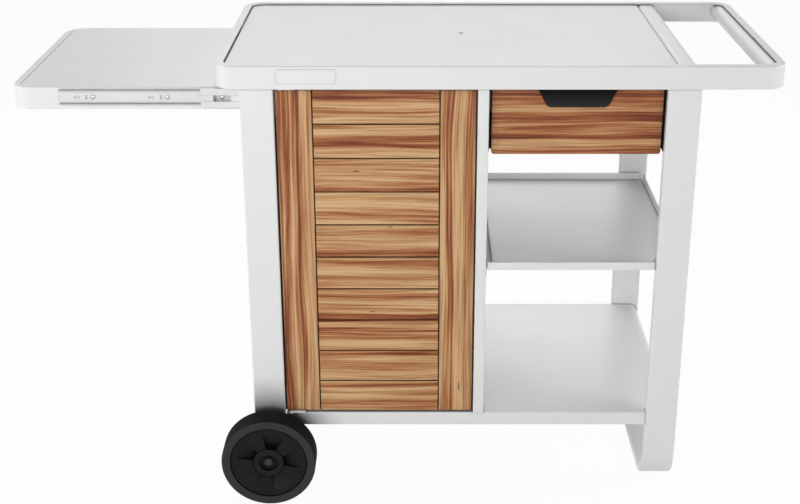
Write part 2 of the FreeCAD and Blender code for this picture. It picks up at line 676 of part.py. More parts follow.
def slide_outer(length):
    """Fixed member, its back on the support."""
    half = slide_heights()[0]
    return slide_channel(length, 0.0, SLIDE_OUTER_WIDTH, half, 1, SLIDE_LIP)


def slide_middle(length):
    """Middle member, grooved along its back, with a window near its leading end."""
    half = slide_heights()[1]
    y0 = SLIDE_MIDDLE_BACK
    member = slide_channel(length, y0, y0 + SLIDE_MIDDLE_WIDTH, half, 1, SLIDE_LIP)
    window_half = MIDDLE_WINDOW_HEIGHT / 2.0
    window = block(MIDDLE_WINDOW_FROM_END, MIDDLE_WINDOW_FROM_END + MIDDLE_WINDOW_LENGTH, y0 - 1.0,
                   y0 + SLIDE_SHEET + 1.0, -window_half, window_half)
    groove = block(0, length, y0, y0 + MIDDLE_GROOVE_DEPTH, -window_half, window_half)
    return member.cut(window).cut(groove)


def slide_inner(length):
    """Moving member, its back on the drawer or shelf, slotted for its screws."""
    half = slide_heights()[2]
    y1 = SLIDE_DEPTH
    y_web = y1 - SLIDE_SHEET
    member = slide_channel(length, y1 - SLIDE_INNER_WIDTH, y1, half, -1, 0.0)
    reach = UPRIGHT_SLOT_HEIGHT / 2.0
    upright = slot_cutter(-reach, UPRIGHT_SLOT_HEIGHT, SLOT_WIDTH, y_web, y1)
    upright = upright.rotated(vec(0, 0, 0), vec(0, 1, 0), 90.0)
    for start in SLOT_FROM_END:
        member = member.cut(slot_cutter(start, SLOT_LENGTH, SLOT_WIDTH, y_web, y1))
        member = member.cut(upright.translated(vec(start + UPRIGHT_SLOT_FROM_SLOT, 0, 0)))
    return member


def bearing_ball():
    """Faceted ball about the origin, in bands between its flat lower and upper ends."""
    turn = 2.0 * math.pi / BALL_SIDES
    rings = []
    for level in range(BALL_SIDES // 2):
        angle = turn * (level + 0.5)
        radius = SLIDE_BALL_R * math.sin(angle)
        height = -SLIDE_BALL_R * math.cos(angle)
        rings.append([vec(radius * math.cos(turn * side), radius * math.sin(turn * side), height)
                      for side in range(BALL_SIDES)])
    outlines = [rings[0], rings[-1]]
    for low, high in zip(rings, rings[1:]):
        for side in range(BALL_SIDES):
            outlines.append([low[side - 1], low[side], high[side], high[side - 1]])
    faces = [Part.Face(Part.makePolygon(corners + [corners[0]])) for corners in outlines]
    return Part.Solid(Part.Shell(faces))


def slide_cage(start, length, y, z):
    """Retainer strip whose bearing balls stand out above and below it."""
    strip = block(start, start + length, y - CAGE_WIDTH / 2.0, y + CAGE_WIDTH / 2.0,
                  z - CAGE_THICK / 2.0, z + CAGE_THICK / 2.0)
    pitch = length / BALLS_PER_CAGE
    balls = []
    for index in range(BALLS_PER_CAGE):
        balls.append(bearing_ball().translated(vec(start + pitch * (index + 0.5), y, z)))
    return joined([strip] + balls)


def slide_cages(middle_length):
    """Four rows: two outside the middle member at its tail, two inside it at its leading end."""
    outer, middle, inner = slide_heights()
    outside_z = middle + SLIDE_BALL_FIT + SLIDE_BALL_R
    inside_z = inner + SLIDE_BALL_FIT + SLIDE_BALL_R
    outside_y = SLIDE_MIDDLE_BACK + SLIDE_MIDDLE_WIDTH / 2.0
    inside_y = outside_y + 1.0
    rows = []
    for side in (-1.0, 1.0):
        tail = middle_length - CAGE_LONG - CAGE_FROM_END
        rows.append(slide_cage(tail, CAGE_LONG, outside_y, side * outside_z))
        rows.append(slide_cage(CAGE_FROM_END, CAGE_SHORT, inside_y, side * inside_z))
    return group(rows)


def slide_screws():
    """Pan heads beside the moving member's slots, inside its channel."""
    y1 = SLIDE_DEPTH - SLIDE_SHEET
    heads = []
    for start in SLOT_FROM_END:
        x = start + SCREW_FROM_SLOT
        seat = vec(x, y1 - SCREW_HEAD_HEIGHT, 0)
        heads.append(round_bar(seat, vec(0, 1, 0), SCREW_HEAD_R, SCREW_HEAD_HEIGHT))
    return group(heads)


def at_shelf_front(shape, x):
    """Slide member set behind the left front leg, its leading end at x."""
    return shape.translated(vec(x, SLIDE_SEAT, SHELF_SLIDE_CENTRE))


def at_drawer_right(shape, y):
    """Slide member set on the drawer's right support, its leading end at y."""
    turned = shape.rotated(vec(0, 0, 0), vec(0, 0, 1), 90.0)
    return turned.translated(vec(DRAWER_SEAT_RIGHT, y, DRAWER_SLIDE_CENTRE))


def mirrored_drawer(shape):
    """Copy of a shape on the other side of the drawer's middle plane."""
    return shape.mirror(vec(DRAWER_MIDDLE_X, 0, 0), vec(1, 0, 0))


def shelf_slide_x(travel_share):
    """Leading end of a shelf slide member that has moved by a share of the travel."""
    return SHELF_SLIDE_LEFT - SHELF_TRAVEL * travel_share


def shelf_middle_x():
    """Leading end of the shelf slides' middle members with the shelf pulled out."""
    closed = SHELF_SLIDE_LEFT + SHELF_SLIDE_LENGTH - SHELF_SLIDE_MIDDLE_LENGTH
    return closed - SHELF_TRAVEL / 2.0


# Side shelf

def shelf_solid():
    """The pulled-out side shelf as one pan: a top with deep edges turned down."""
    x0 = SHELF_OPEN_LEFT
    x1 = x0 + SHELF_LENGTH
    half = SHELF_HALF_DEPTH
    low = SHELF_TOP - SHELF_THICK
    outer = plan_face(x0, x1, -half, half, SHELF_CORNER_R, 0.0, low).extrude(vec(0, 0, SHELF_THICK))
    rim = [edge for edge in outer.Edges
           if edge.BoundBox.ZMin > SHELF_TOP - 1e-3 and edge.BoundBox.XMin < x1 - 1e-3]
    outer = outer.makeFillet(SHELF_EDGE_R, rim)
    inner = plan_face(x0 + SHEET, x1 - SHEET, -half + SHEET, half - SHEET, SHELF_CORNER_R - SHEET, 0.0, low)
    return outer.cut(inner.extrude(vec(0, 0, SHELF_THICK - SHEET)))


def shelf_panel():
    """Shelf from the end trim to its hidden right end, grooved along the seam between them."""
    seam = SHELF_OPEN_LEFT + SHELF_END_WIDTH
    half = SHELF_HALF_DEPTH - SHELF_SEAM_FROM_SIDE
    groove = block(seam, seam + SHELF_SEAM_WIDTH, -half, half, SHELF_TOP - SHELF_SEAM_DEPTH, TOP_HEIGHT)
    return shelf_solid().cut(end_slice()).cut(groove)


def shelf_end_trim():
    """Rounded left end of the shelf."""
    return shelf_solid().common(end_slice())


def end_slice():
    """Block over the shelf's left end, up to the seam."""
    seam = SHELF_OPEN_LEFT + SHELF_END_WIDTH
    return block(seam - FAR, seam, -FAR, FAR, 0, TOP_HEIGHT)


def shelf_ribs():
    """Stiffeners under the side shelf, from its front edge to its back edge."""
    ribs = []
    half = SHELF_HALF_DEPTH - SHEET
    top = SHELF_TOP - SHEET
    for index in range(SHELF_RIB_COUNT):
        middle = SHELF_OPEN_LEFT + SHELF_LENGTH * (index + 1.0) / (SHELF_RIB_COUNT + 1.0)
        left = middle - STIFFENER_WIDTH / 2.0
        right = middle + STIFFENER_WIDTH / 2.0
        outer = block(left, right, -half, half, top - STIFFENER_HEIGHT, top)
        inner = block(left + SHEET, right - SHEET, -half, half, top - STIFFENER_HEIGHT + SHEET, top)
        ribs.append(outer.cut(inner))
    return group(ribs)


def shelf_slide_supports():
    """Plates inside the left legs and the centre posts that carry the shelf's slides."""
    plate = block(LEFT_LEG_X, PARTITION_X, LEG_INNER, SLIDE_SEAT, SHELF_SLIDE_CENTRE - SLIDE_PLATE_HALF,
                  SHELF_SLIDE_CENTRE + SLIDE_PLATE_HALF)
    return group([plate, mirrored_y(plate)])


# Drawer

def drawer_support_right():
    """Pressed plate with a long window, its top boxed, that carries the right drawer slide."""
    x0 = DRAWER_SEAT_RIGHT
    x1 = RIGHT_LEG_X
    y0 = FRAME_FRONT + SUPPORT_FROM_LEG_FRONT
    y1 = -y0
    low = DRAWER_SLIDE_CENTRE - SLIDE_OUTER_HEIGHT / 2.0
    web = block(x0, x1, y0, y1, low, BAND_BOTTOM)
    window = block(x0 - 1.0, x1 + 1.0, y0 + SUPPORT_WINDOW_MARGIN, y1 - SUPPORT_WINDOW_MARGIN,
                   SUPPORT_WINDOW_BOTTOM, SUPPORT_WINDOW_TOP)
    flange_x = x1 - SUPPORT_TAB_WIDTH
    flange_y = DRAWER_SLIDE_Y
    top_flange = block(flange_x, x1, flange_y, y1 - SUPPORT_WINDOW_MARGIN, BAND_BOTTOM - SUPPORT_SHEET,
                       BAND_BOTTOM)
    low_flange = block(flange_x, x1, flange_y, y1 - SUPPORT_WINDOW_MARGIN, SUPPORT_WINDOW_TOP,
                       SUPPORT_WINDOW_TOP + SUPPORT_SHEET)
    front_tab = block(flange_x, x1, flange_y, flange_y + SUPPORT_SHEET, SUPPORT_WINDOW_TOP, BAND_BOTTOM)
    return joined([web.cut(window), top_flange, low_flange, front_tab])


def drawer_front_limits():
    """Left, right, bottom and top of the drawer's wood front."""
    x0 = POST_RIGHT + DRAWER_SIDE_GAP
    x1 = RIGHT_LEG_X - DRAWER_SIDE_GAP
    return x0, x1, DRAWER_FRONT_BOTTOM, DRAWER_FRONT_TOP


def pull_face(y, grow):
    """Upright face of the pull's outline, narrower at its rounded lower corners."""
    x0, x1, z0, z1 = drawer_front_limits()
    middle = (x0 + x1) / 2.0
    top = PULL_TOP_WIDTH / 2.0 + grow
    low = PULL_BOTTOM_WIDTH / 2.0 + grow
    z_low = z1 - PULL_HEIGHT - grow
    points = [vec(middle - top, y, z1), vec(middle - low, y, z_low), vec(middle + low, y, z_low),
              vec(middle + top, y, z1)]
    return Part.Face(rounded_outline(points, [0.0, PULL_CORNER_R, PULL_CORNER_R, 0.0]))


def drawer_front():
    """Wood front with rounded lower corners and a shallow rebate for the pull."""
    x0, x1, z0, z1 = drawer_front_limits()
    y = FRAME_FRONT + DRAWER_FRONT_SETBACK
    points = [vec(x0, y, z0), vec(x1, y, z0), vec(x1, y, z1), vec(x0, y, z1)]
    face = Part.Face(rounded_outline(points, [DRAWER_FRONT_CORNER_R, DRAWER_FRONT_CORNER_R, 0.0, 0.0]))
    board = face.extrude(vec(0, DRAWER_FRONT_THICK, 0))
    rebate = pull_face(y, CAP_FIT).extrude(vec(0, PULL_THICK - PULL_PROUD, 0))
    return board.cut(rebate)


def drawer_pull():
    """Black plate let into the front's top edge, turned back over the top of the wood."""
    x0, x1, z0, z1 = drawer_front_limits()
    y = FRAME_FRONT + DRAWER_FRONT_SETBACK - PULL_PROUD
    plate = pull_face(y, 0.0).extrude(vec(0, PULL_THICK, 0))
    middle = (x0 + x1) / 2.0
    half = PULL_TOP_WIDTH / 2.0
    hook = block(middle - half, middle + half, y, y + PULL_PROUD + DRAWER_FRONT_THICK, z1,
                 z1 + PULL_PROUD)
    return joined([plate, hook])


def drawer_box():
    """Folded steel box behind the front, open at the top, its side edges hemmed outwards."""
    x0 = DRAWER_SEAT_LEFT + SLIDE_DEPTH
    x1 = DRAWER_SEAT_RIGHT - SLIDE_DEPTH
    y0 = DRAWER_FRONT_BACK
    y1 = y0 + DRAWER_BOX_LENGTH
    z0 = DRAWER_BOX_BOTTOM
    z1 = z0 + DRAWER_BOX_HEIGHT
    wall = DRAWER_BOX_SHEET
    outer = block(x0, x1, y0, y1, z0, z1)
    inner = block(x0 + wall, x1 - wall, y0 + wall, y1 - wall, z0 + wall, z1)
    hem_low = z1 - DRAWER_BOX_HEM
    left_hem = block(x0 + wall, x0 + 2.0 * wall, y0 + wall, y1 - wall, hem_low, z1)
    right_hem = block(x1 - 2.0 * wall, x1 - wall, y0 + wall, y1 - wall, hem_low, z1)
    return joined([outer.cut(inner), left_hem, right_hem])


# Door

def door_board(x0, x1, z0, z1):
    """Wood board with the edges of its front face bevelled."""
    board = block(x0, x1, DOOR_FACE, DOOR_FACE + DOOR_THICK, z0, z1)
    rim = [edge for edge in board.Edges if edge.BoundBox.YMax < DOOR_FACE + 1e-3]
    return board.makeChamfer(SLAT_BEVEL, rim)


def door_stiles():
    """Upright boards at the two edges of the door."""
    left = door_board(DOOR_LEFT, DOOR_LEFT + STILE_WIDTH, DOOR_BOTTOM, DOOR_TOP)
    right = door_board(DOOR_RIGHT - STILE_WIDTH, DOOR_RIGHT, DOOR_BOTTOM, DOOR_TOP)
    return group([left, right])


def door_slats():
    """Level boards between the stiles, a narrow groove between each two."""
    x0 = DOOR_LEFT + STILE_WIDTH + SLAT_GAP
    x1 = DOOR_RIGHT - STILE_WIDTH - SLAT_GAP
    pitch = (DOOR_TOP - DOOR_BOTTOM) / SLAT_COUNT
    slats = []
    for index in range(SLAT_COUNT):
        low = DOOR_BOTTOM + pitch * index + (SLAT_GAP / 2.0 if index > 0 else 0.0)
        high = DOOR_BOTTOM + pitch * (index + 1) - (SLAT_GAP / 2.0 if index < SLAT_COUNT - 1 else 0.0)
        slats.append(door_board(x0, x1, low, high))
    return group(slats)


def door_back_panel():
    """Black sheet behind the boards, which holds them together."""
    y = DOOR_FACE + DOOR_THICK
    return block(DOOR_LEFT + DOOR_BACK_INSET, DOOR_RIGHT, y, y + DOOR_BACK_SHEET,
                 DOOR_BOTTOM + DOOR_BACK_INSET, DOOR_TOP - DOOR_BACK_INSET)


def door_edge_strip():
    """Black strip along the upper part of the door's free edge."""
    y0 = DOOR_FACE + EDGE_STRIP_SETBACK
    y1 = DOOR_FACE + DOOR_THICK + DOOR_BACK_SHEET
    return block(DOOR_RIGHT, DOOR_RIGHT + EDGE_STRIP_THICK, y0, y1, DOOR_TOP - EDGE_STRIP_LENGTH, DOOR_TOP)


def pivot_plate(z0, z1, y_back, hole):
    """Plate with a round nose about the pivot, with or without a hole for the pin."""
    nose = round_bar(vec(PIVOT_X, PIVOT_Y, z0), vec(0, 0, 1), PIVOT_NOSE_R, z1 - z0)
    tail = block(PIVOT_X, PIVOT_X + PIVOT_PLATE_LENGTH, PIVOT_Y - PIVOT_NOSE_R / 2.0, y_back, z0, z1)
    root = block(PIVOT_X - PIVOT_NOSE_R, PIVOT_X + PIVOT_NOSE_R, PIVOT_Y, y_back, z0, z1)
    plate = joined([nose, tail, root])
    if hole:
        bore = round_bar(vec(PIVOT_X, PIVOT_Y, z0 - 1.0), vec(0, 0, 1), PIVOT_PIN_R + PIVOT_FIT,
                         z1 - z0 + 2.0)
        plate = plate.cut(bore)
    return plate


def door_pivot_plates():
    """Plates on the door's lower and upper edges, each bored for a pin."""
    y_back = DOOR_FACE + DOOR_THICK
    middle = DOOR_BOTTOM - DOOR_BOTTOM_GAP / 2.0
    lower = pivot_plate(middle, DOOR_BOTTOM, y_back, True)
    upper = pivot_plate(DOOR_TOP, DOOR_TOP + PIVOT_PLATE_TOP_THICK, y_back, True)
    return group([lower, upper])


def door_hinge_brackets():
    """Fixed plates with the pivot pins: one on the bottom shelf, one under the front rail."""
    middle = DOOR_BOTTOM - DOOR_BOTTOM_GAP / 2.0
    low_plate = pivot_plate(BOTTOM_SHELF_TOP, middle, LEG_INNER, False)
    low_pin = round_bar(vec(PIVOT_X, PIVOT_Y, BOTTOM_SHELF_TOP), vec(0, 0, 1), PIVOT_PIN_R,
                        DOOR_BOTTOM_GAP - PIVOT_PIN_SHORT)
    top_nose = block(PIVOT_X - PIVOT_PIN_R, PIVOT_X + PIVOT_PLATE_LENGTH, FRAME_FRONT, LEG_INNER,
                     LEG_TOP - SHEET, LEG_TOP)
    pin_low = DOOR_TOP + PIVOT_PIN_SHORT
    top_pin = round_bar(vec(PIVOT_X, PIVOT_Y, pin_low), vec(0, 0, 1), PIVOT_PIN_R, LEG_TOP - pin_low)
    return group([joined([low_plate, low_pin]), joined([top_nose, top_pin])])


def door_catch():
    """Magnetic catch behind the door's free edge, on the partition."""
    x0 = POST_LEFT - CATCH_NOSE
    y_front = DOOR_FACE + DOOR_THICK + DOOR_BACK_SHEET + CATCH_PLATE / 2.0
    z0 = (DOOR_BOTTOM + DOOR_TOP - CATCH_HEIGHT) / 2.0
    z1 = z0 + CATCH_HEIGHT
    body = block(x0, PARTITION_X, LEG_INNER, LEG_INNER + CATCH_DEPTH, z0, z1)
    nose = block(x0, POST_LEFT, y_front, LEG_INNER, z0, z1)
    return joined([body, nose])


# Wheels

def wheel_turned(points):
    """Solid of revolution about the axle from its half section, given as radius and Y."""
    corners = [vec(AXLE_X, y, WHEEL_R + radius) for radius, y in points]
    wire = Part.makePolygon(corners + [corners[0]])
    return Part.Face(wire).revolve(vec(AXLE_X, 0, WHEEL_R), vec(0, 1, 0), 360.0)


def tyre():
    """Solid tyre with bevelled shoulders and grooves round its tread."""
    y0 = WHEEL_INNER_Y - WHEEL_WIDTH
    y1 = WHEEL_INNER_Y
    outline = [(HUB_FACE_R, y0), (WHEEL_R - TYRE_SHOULDER, y0), (WHEEL_R, y0 + TYRE_SHOULDER)]
    pitch = (WHEEL_WIDTH - 2.0 * TYRE_SHOULDER) / (TYRE_GROOVE_COUNT + 1.0)
    for index in range(TYRE_GROOVE_COUNT):
        middle = y0 + TYRE_SHOULDER + pitch * (index + 1.0)
        outline.append((WHEEL_R, middle - TYRE_GROOVE_WIDTH / 2.0))
        outline.append((WHEEL_R - TYRE_GROOVE_DEPTH, middle))
        outline.append((WHEEL_R, middle + TYRE_GROOVE_WIDTH / 2.0))
    outline.extend([(WHEEL_R, y1 - TYRE_SHOULDER), (WHEEL_R - TYRE_SHOULDER, y1)])
    seat = [(HUB_FACE_R, y1), (HUB_FACE_R, y1 - HUB_FLANGE), (TYRE_BASE_R, y1 - HUB_FLANGE),
            (TYRE_BASE_R, y0 + HUB_FLANGE), (HUB_FACE_R, y0 + HUB_FLANGE)]
    return wheel_turned(outline + seat)


def wheel_hub():
    """Moulded hub, alike on both faces: flanged rim, ramped pockets between flush spokes, boss."""
    y_face = hub_face_y()
    y_back = WHEEL_INNER_Y - HUB_FACE_INSET
    y_boss = y_face - BOSS_PROUD
    bore = BUSH_R + AXLE_FIT
    hub = wheel_turned([
        (bore, y_boss), (BOSS_R, y_boss), (BOSS_R, y_face), (HUB_FACE_R, y_face),
        (HUB_FACE_R, y_face + HUB_FLANGE - HUB_FACE_INSET),
        (TYRE_BASE_R, y_face + HUB_FLANGE - HUB_FACE_INSET),
        (TYRE_BASE_R, y_back - HUB_FLANGE + HUB_FACE_INSET),
        (HUB_FACE_R, y_back - HUB_FLANGE + HUB_FACE_INSET), (HUB_FACE_R, y_back), (BOSS_R, y_back),
        (BOSS_R, WHEEL_INNER_Y), (bore, WHEEL_INNER_Y),
    ])
    recess_floor = y_face + BOSS_RECESS_DEPTH
    hub = hub.cut(wheel_turned([(bore, y_boss), (BOSS_RECESS_R, y_boss), (BOSS_RECESS_R, recess_floor),
                                (bore, recess_floor)]))
    for index in range(POCKET_COUNT):
        angle = POCKET_START + index * 360.0 / POCKET_COUNT
        hub = hub.cut(pocket(y_face, POCKET_DEPTH, angle)).cut(pocket(y_back, -POCKET_DEPTH, angle))
    return hub


def pocket(y_face, depth, angle):
    """Ramped pocket cutter: deepest at the boss, running out to the face at its outer edge."""
    start = vec(AXLE_X, y_face, WHEEL_R + BOSS_R)
    outer_end = vec(AXLE_X, y_face, WHEEL_R + POCKET_OUTER_R)
    deep_end = vec(AXLE_X, y_face + depth, WHEEL_R + BOSS_R)
    wire = Part.makePolygon([start, outer_end, deep_end, start])
    wedge = Part.Face(wire).revolve(vec(AXLE_X, 0, WHEEL_R), vec(0, 1, 0), POCKET_ANGLE)
    return wedge.rotated(vec(AXLE_X, 0, WHEEL_R), vec(0, 1, 0), angle)


def wheel_bush():
    """Sleeve in the hub that runs on the axle's turned end."""
    y0 = hub_face_y() + BUSH_UNDER_FACE
    length = WHEEL_INNER_Y - y0
    sleeve = round_bar(vec(AXLE_X, y0, WHEEL_R), vec(0, 1, 0), BUSH_R, length)
    bore = round_bar(vec(AXLE_X, y0, WHEEL_R), vec(0, 1, 0), JOURNAL_R + AXLE_FIT, length)
    return sleeve.cut(bore)


def hexagon_head(x, y, z):
    """Hexagon screw head that stands up to +Y from its seat."""
    turn = math.pi / 3.0
    corners = [vec(x + SCREW_HEAD_R * math.cos(turn * side), y, z + SCREW_HEAD_R * math.sin(turn * side))
               for side in range(6)]
    return Part.Face(Part.makePolygon(corners + [corners[0]])).extrude(vec(0, SCREW_HEAD_HEIGHT, 0))


def frame_screws():
    """Heads that hold the slide plates to the legs and posts, two at each end."""
    heads = []
    half = SLIDE_OUTER_HEIGHT / 2.0 + SLIDE_PLATE_MARGIN / 2.0
    for x in (LEFT_LEG_X + LEG_WIDTH / 4.0, POST_LEFT + POST_WIDTH / 2.0):
        for side in (-1.0, 1.0):
            head = hexagon_head(x, SLIDE_SEAT, SHELF_SLIDE_CENTRE + side * half)
            heads.append(head)
            heads.append(mirrored_y(head))
    return group(heads)


def build():
    """Every sub-part of the cart by name."""
    parts = {}
    parts["top_band"] = top_band()
    parts["worktop_panel"] = worktop_panel()
    parts["worktop_stiffeners"] = worktop_stiffeners()
    parts["top_cross_rail"] = top_cross_rail()
    parts["front_top_rail"] = front_top_rail()
    parts["back_top_rail"] = mirrored_y(front_top_rail())
    parts["handle_grip"] = handle_grip()
    parts["right_side_frame"] = right_side_frame()
    parts["left_front_leg"] = left_front_leg()
    parts["left_rear_leg"] = mirrored_y(left_front_leg())
    parts["leg_end_caps"] = group([leg_end_cap(), mirrored_y(leg_end_cap())])
    parts["bottom_shelf"] = bottom_shelf()
    parts["centre_front_post"] = centre_front_post()
    parts["centre_rear_post"] = centre_rear_post()
    parts["partition_panel"] = partition_panel()
    parts["cabinet_left_panel"] = cabinet_left_panel()
    parts["cabinet_back_panel"] = cabinet_back_panel()
    parts["mid_shelf"] = mid_shelf()
    parts["mid_shelf_rails"] = mid_shelf_rails()
    parts["axle"] = axle()
    parts["axle_caps"] = group([axle_cap(), mirrored_y(axle_cap())])
    parts["frame_screws"] = frame_screws()

    parts["shelf_slide_supports"] = shelf_slide_supports()
    outer = at_shelf_front(slide_outer(SHELF_SLIDE_LENGTH), shelf_slide_x(0.0))
    middle = at_shelf_front(slide_middle(SHELF_SLIDE_MIDDLE_LENGTH), shelf_middle_x())
    inner = at_shelf_front(slide_inner(SHELF_SLIDE_LENGTH), shelf_slide_x(1.0))
    cages = at_shelf_front(slide_cages(SHELF_SLIDE_MIDDLE_LENGTH), shelf_middle_x())
    screws = at_shelf_front(slide_screws(), shelf_slide_x(1.0))
    parts["shelf_slide_outer_front"] = outer
    parts["shelf_slide_outer_rear"] = mirrored_y(outer)
    parts["shelf_slide_middle_front"] = middle
    parts["shelf_slide_middle_rear"] = mirrored_y(middle)
    parts["shelf_slide_cages"] = group([cages, mirrored_y(cages)])
    parts["shelf_slide_inner_front"] = inner
    parts["shelf_slide_inner_rear"] = mirrored_y(inner)
    parts["shelf_screws"] = group([screws, mirrored_y(screws)])
    parts["shelf_panel"] = shelf_panel()
    parts["shelf_end_trim"] = shelf_end_trim()
    parts["shelf_ribs"] = shelf_ribs()

    parts["drawer_support_right"] = drawer_support_right()
    parts["drawer_support_left"] = mirrored_drawer(drawer_support_right())
    outer = at_drawer_right(slide_outer(DRAWER_SLIDE_LENGTH), DRAWER_SLIDE_Y)
    middle = at_drawer_right(slide_middle(DRAWER_SLIDE_MIDDLE_LENGTH), DRAWER_SLIDE_Y)
    inner = at_drawer_right(slide_inner(DRAWER_SLIDE_LENGTH), DRAWER_SLIDE_Y)
    cages = at_drawer_right(slide_cages(DRAWER_SLIDE_MIDDLE_LENGTH), DRAWER_SLIDE_Y)
    parts["drawer_slide_outer_right"] = outer
    parts["drawer_slide_outer_left"] = mirrored_drawer(outer)
    parts["drawer_slide_middle_right"] = middle
    parts["drawer_slide_middle_left"] = mirrored_drawer(middle)
    parts["drawer_slide_cages"] = group([cages, mirrored_drawer(cages)])
    parts["drawer_slide_inner_right"] = inner
    parts["drawer_slide_inner_left"] = mirrored_drawer(inner)
    parts["drawer_front"] = drawer_front()
    parts["drawer_pull"] = drawer_pull()
    parts["drawer_box"] = drawer_box()

    parts["door_stiles"] = door_stiles()
    parts["door_slats"] = door_slats()
    parts["door_back_panel"] = door_back_panel()
    parts["door_edge_strip"] = door_edge_strip()
    parts["door_pivot_plates"] = door_pivot_plates()
    parts["door_hinge_brackets"] = door_hinge_brackets()
    parts["door_catch"] = door_catch()

    parts["front_tyre"] = tyre()
    parts["front_wheel_hub"] = wheel_hub()
    parts["front_wheel_bush"] = wheel_bush()
    parts["rear_tyre"] = mirrored_y(tyre())
    parts["rear_wheel_hub"] = mirrored_y(wheel_hub())
    parts["rear_wheel_bush"] = mirrored_y(wheel_bush())
    return parts


def main():
    """Write one file for each sub-part."""
    os.makedirs("parts", exist_ok=True)
    for name, shape in build().items():
        shape.exportStep("parts/" + name + ".step")
        print(name, len(shape.Solids), round(shape.Volume / 1000.0, 1), shape.isValid())


main()
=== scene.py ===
"""Dress a grill cart for its pictures.

The cart is a white steel frame on a tube runner and two wheels, with a cupboard behind an acacia
door, a drawer, open shelves, a push handle and a side shelf that slides out on ball bearing
slides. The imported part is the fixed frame. This script gives its nodes their finishes, stands
finer pieces in for a few of them and sets up the studio. All lengths are in metres.
"""

import logging
import math
from dataclasses import dataclass
from enum import Enum
from typing import Any

import bmesh
import bpy
from mathutils import Matrix, Vector

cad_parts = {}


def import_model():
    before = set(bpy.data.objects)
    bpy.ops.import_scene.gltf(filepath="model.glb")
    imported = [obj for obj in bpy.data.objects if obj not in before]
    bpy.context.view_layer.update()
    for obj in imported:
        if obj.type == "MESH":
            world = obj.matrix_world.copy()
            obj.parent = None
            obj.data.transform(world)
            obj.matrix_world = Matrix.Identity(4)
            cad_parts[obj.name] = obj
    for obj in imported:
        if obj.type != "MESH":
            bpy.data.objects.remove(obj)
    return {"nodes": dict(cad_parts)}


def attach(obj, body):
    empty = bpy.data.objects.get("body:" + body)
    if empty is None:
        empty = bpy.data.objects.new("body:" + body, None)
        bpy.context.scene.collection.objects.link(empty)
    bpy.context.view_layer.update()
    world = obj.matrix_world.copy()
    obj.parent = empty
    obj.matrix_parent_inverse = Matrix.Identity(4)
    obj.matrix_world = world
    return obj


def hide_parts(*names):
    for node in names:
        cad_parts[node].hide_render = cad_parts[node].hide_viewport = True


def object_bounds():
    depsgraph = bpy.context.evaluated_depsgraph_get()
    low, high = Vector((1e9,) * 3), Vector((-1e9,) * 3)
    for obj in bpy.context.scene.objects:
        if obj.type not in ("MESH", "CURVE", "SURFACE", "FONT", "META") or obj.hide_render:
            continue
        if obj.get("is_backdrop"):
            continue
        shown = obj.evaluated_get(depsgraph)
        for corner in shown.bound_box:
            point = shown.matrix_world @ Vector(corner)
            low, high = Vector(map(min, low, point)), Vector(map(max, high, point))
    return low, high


LOG = logging.getLogger("grill_cart")
MM = 0.001
# Corners closer than this are one corner
WELD = 0.001 * MM

# Where the axle runs, in X and Z
AXLE_X = -246.0 * MM
AXLE_Z = 90.0 * MM

# Sockets of a mix of colours and of one of numbers, which share their names
MIX_A = 6
MIX_B = 7
MIX_OUT = 2
NUMBER_A = 2
NUMBER_B = 3

# The values a noise keeps between, as a map range's inputs
NOISE_RANGE = {1: 0.3, 2: 0.7}

Form = bmesh.types.BMesh
Material = bpy.types.Material
Node = bpy.types.Node
Socket = bpy.types.NodeSocket
Tree = bpy.types.NodeTree
# What feeds an input: a socket, or a node, which stands for its first output
Feed = Node | Socket
Pairs = tuple[tuple[float, float], ...]
Points = list[tuple[float, float]]
Ring = list[bmesh.types.BMVert]
# Where a value starts and ends, and what it becomes there
Span = tuple[float, float, float, float]
Place = tuple[float, float, float]
# Bands of heartwood: middle and half width as shares of a board, and depth of tone
Shares = tuple[tuple[float, float, float], ...]


def srgb(code: str) -> tuple[float, float, float, float]:
    """Turn an sRGB hex colour into the linear values that a shader takes.

    Args:
        code: Six hex digits, with or without a hash.

    Returns:
        Linear red, green and blue, and an alpha of 1.
    """
    digits = code.lstrip("#")
    values = []
    for start in (0, 2, 4):
        share = int(digits[start : start + 2], 16) / 255.0
        low = share <= 0.04045
        values.append(share / 12.92 if low else ((share + 0.055) / 1.055) ** 2.4)
    return values[0], values[1], values[2], 1.0


def add_node(
    tree: Tree,
    kind: str,
    settings: dict[str | int, Any] | None = None,
    links: dict[str | int, Feed] | None = None,
) -> Node:
    """Add a shader node with its settings and links.

    Args:
        tree: The node tree.
        kind: The node's type, after the word ShaderNode.
        settings: Properties, unlinked inputs, a ramp's stops and a curve's points.
        links: What feeds its inputs, by name or number.

    Returns:
        The new node.
    """
    node = tree.nodes.new(f"ShaderNode{kind}")
    for key, value in (settings or {}).items():
        if key == "stops":
            while len(node.color_ramp.elements) < len(value):
                node.color_ramp.elements.new(1.0)
            for element, (place, colour) in zip(node.color_ramp.elements, value):
                element.position = place
                element.color = srgb(colour)
        elif key == "points":
            curve = node.mapping.curves[0]
            while len(curve.points) < len(value):
                curve.points.new(1.0, 0.0)
            for point, place in zip(curve.points, value):
                point.location = place
                point.handle_type = "VECTOR"
            node.mapping.update()
        elif isinstance(key, str) and hasattr(node, key):
            setattr(node, key, value)
        else:
            node.inputs[key].default_value = value
    for key, source in (links or {}).items():
        socket = source.outputs[0] if isinstance(source, Node) else source
        tree.links.new(socket, node.inputs[key])
    return node


def start_material(name: str) -> tuple[Material, Tree, Socket]:
    """Start an empty node material.

    Args:
        name: The material's name.

    Returns:
        The material, its node tree and the socket of the place on the cart.
    """
    material = bpy.data.materials.new(name)
    material.use_nodes = True
    tree = material.node_tree
    tree.nodes.clear()
    return material, tree, add_node(tree, "TexCoord").outputs["Object"]


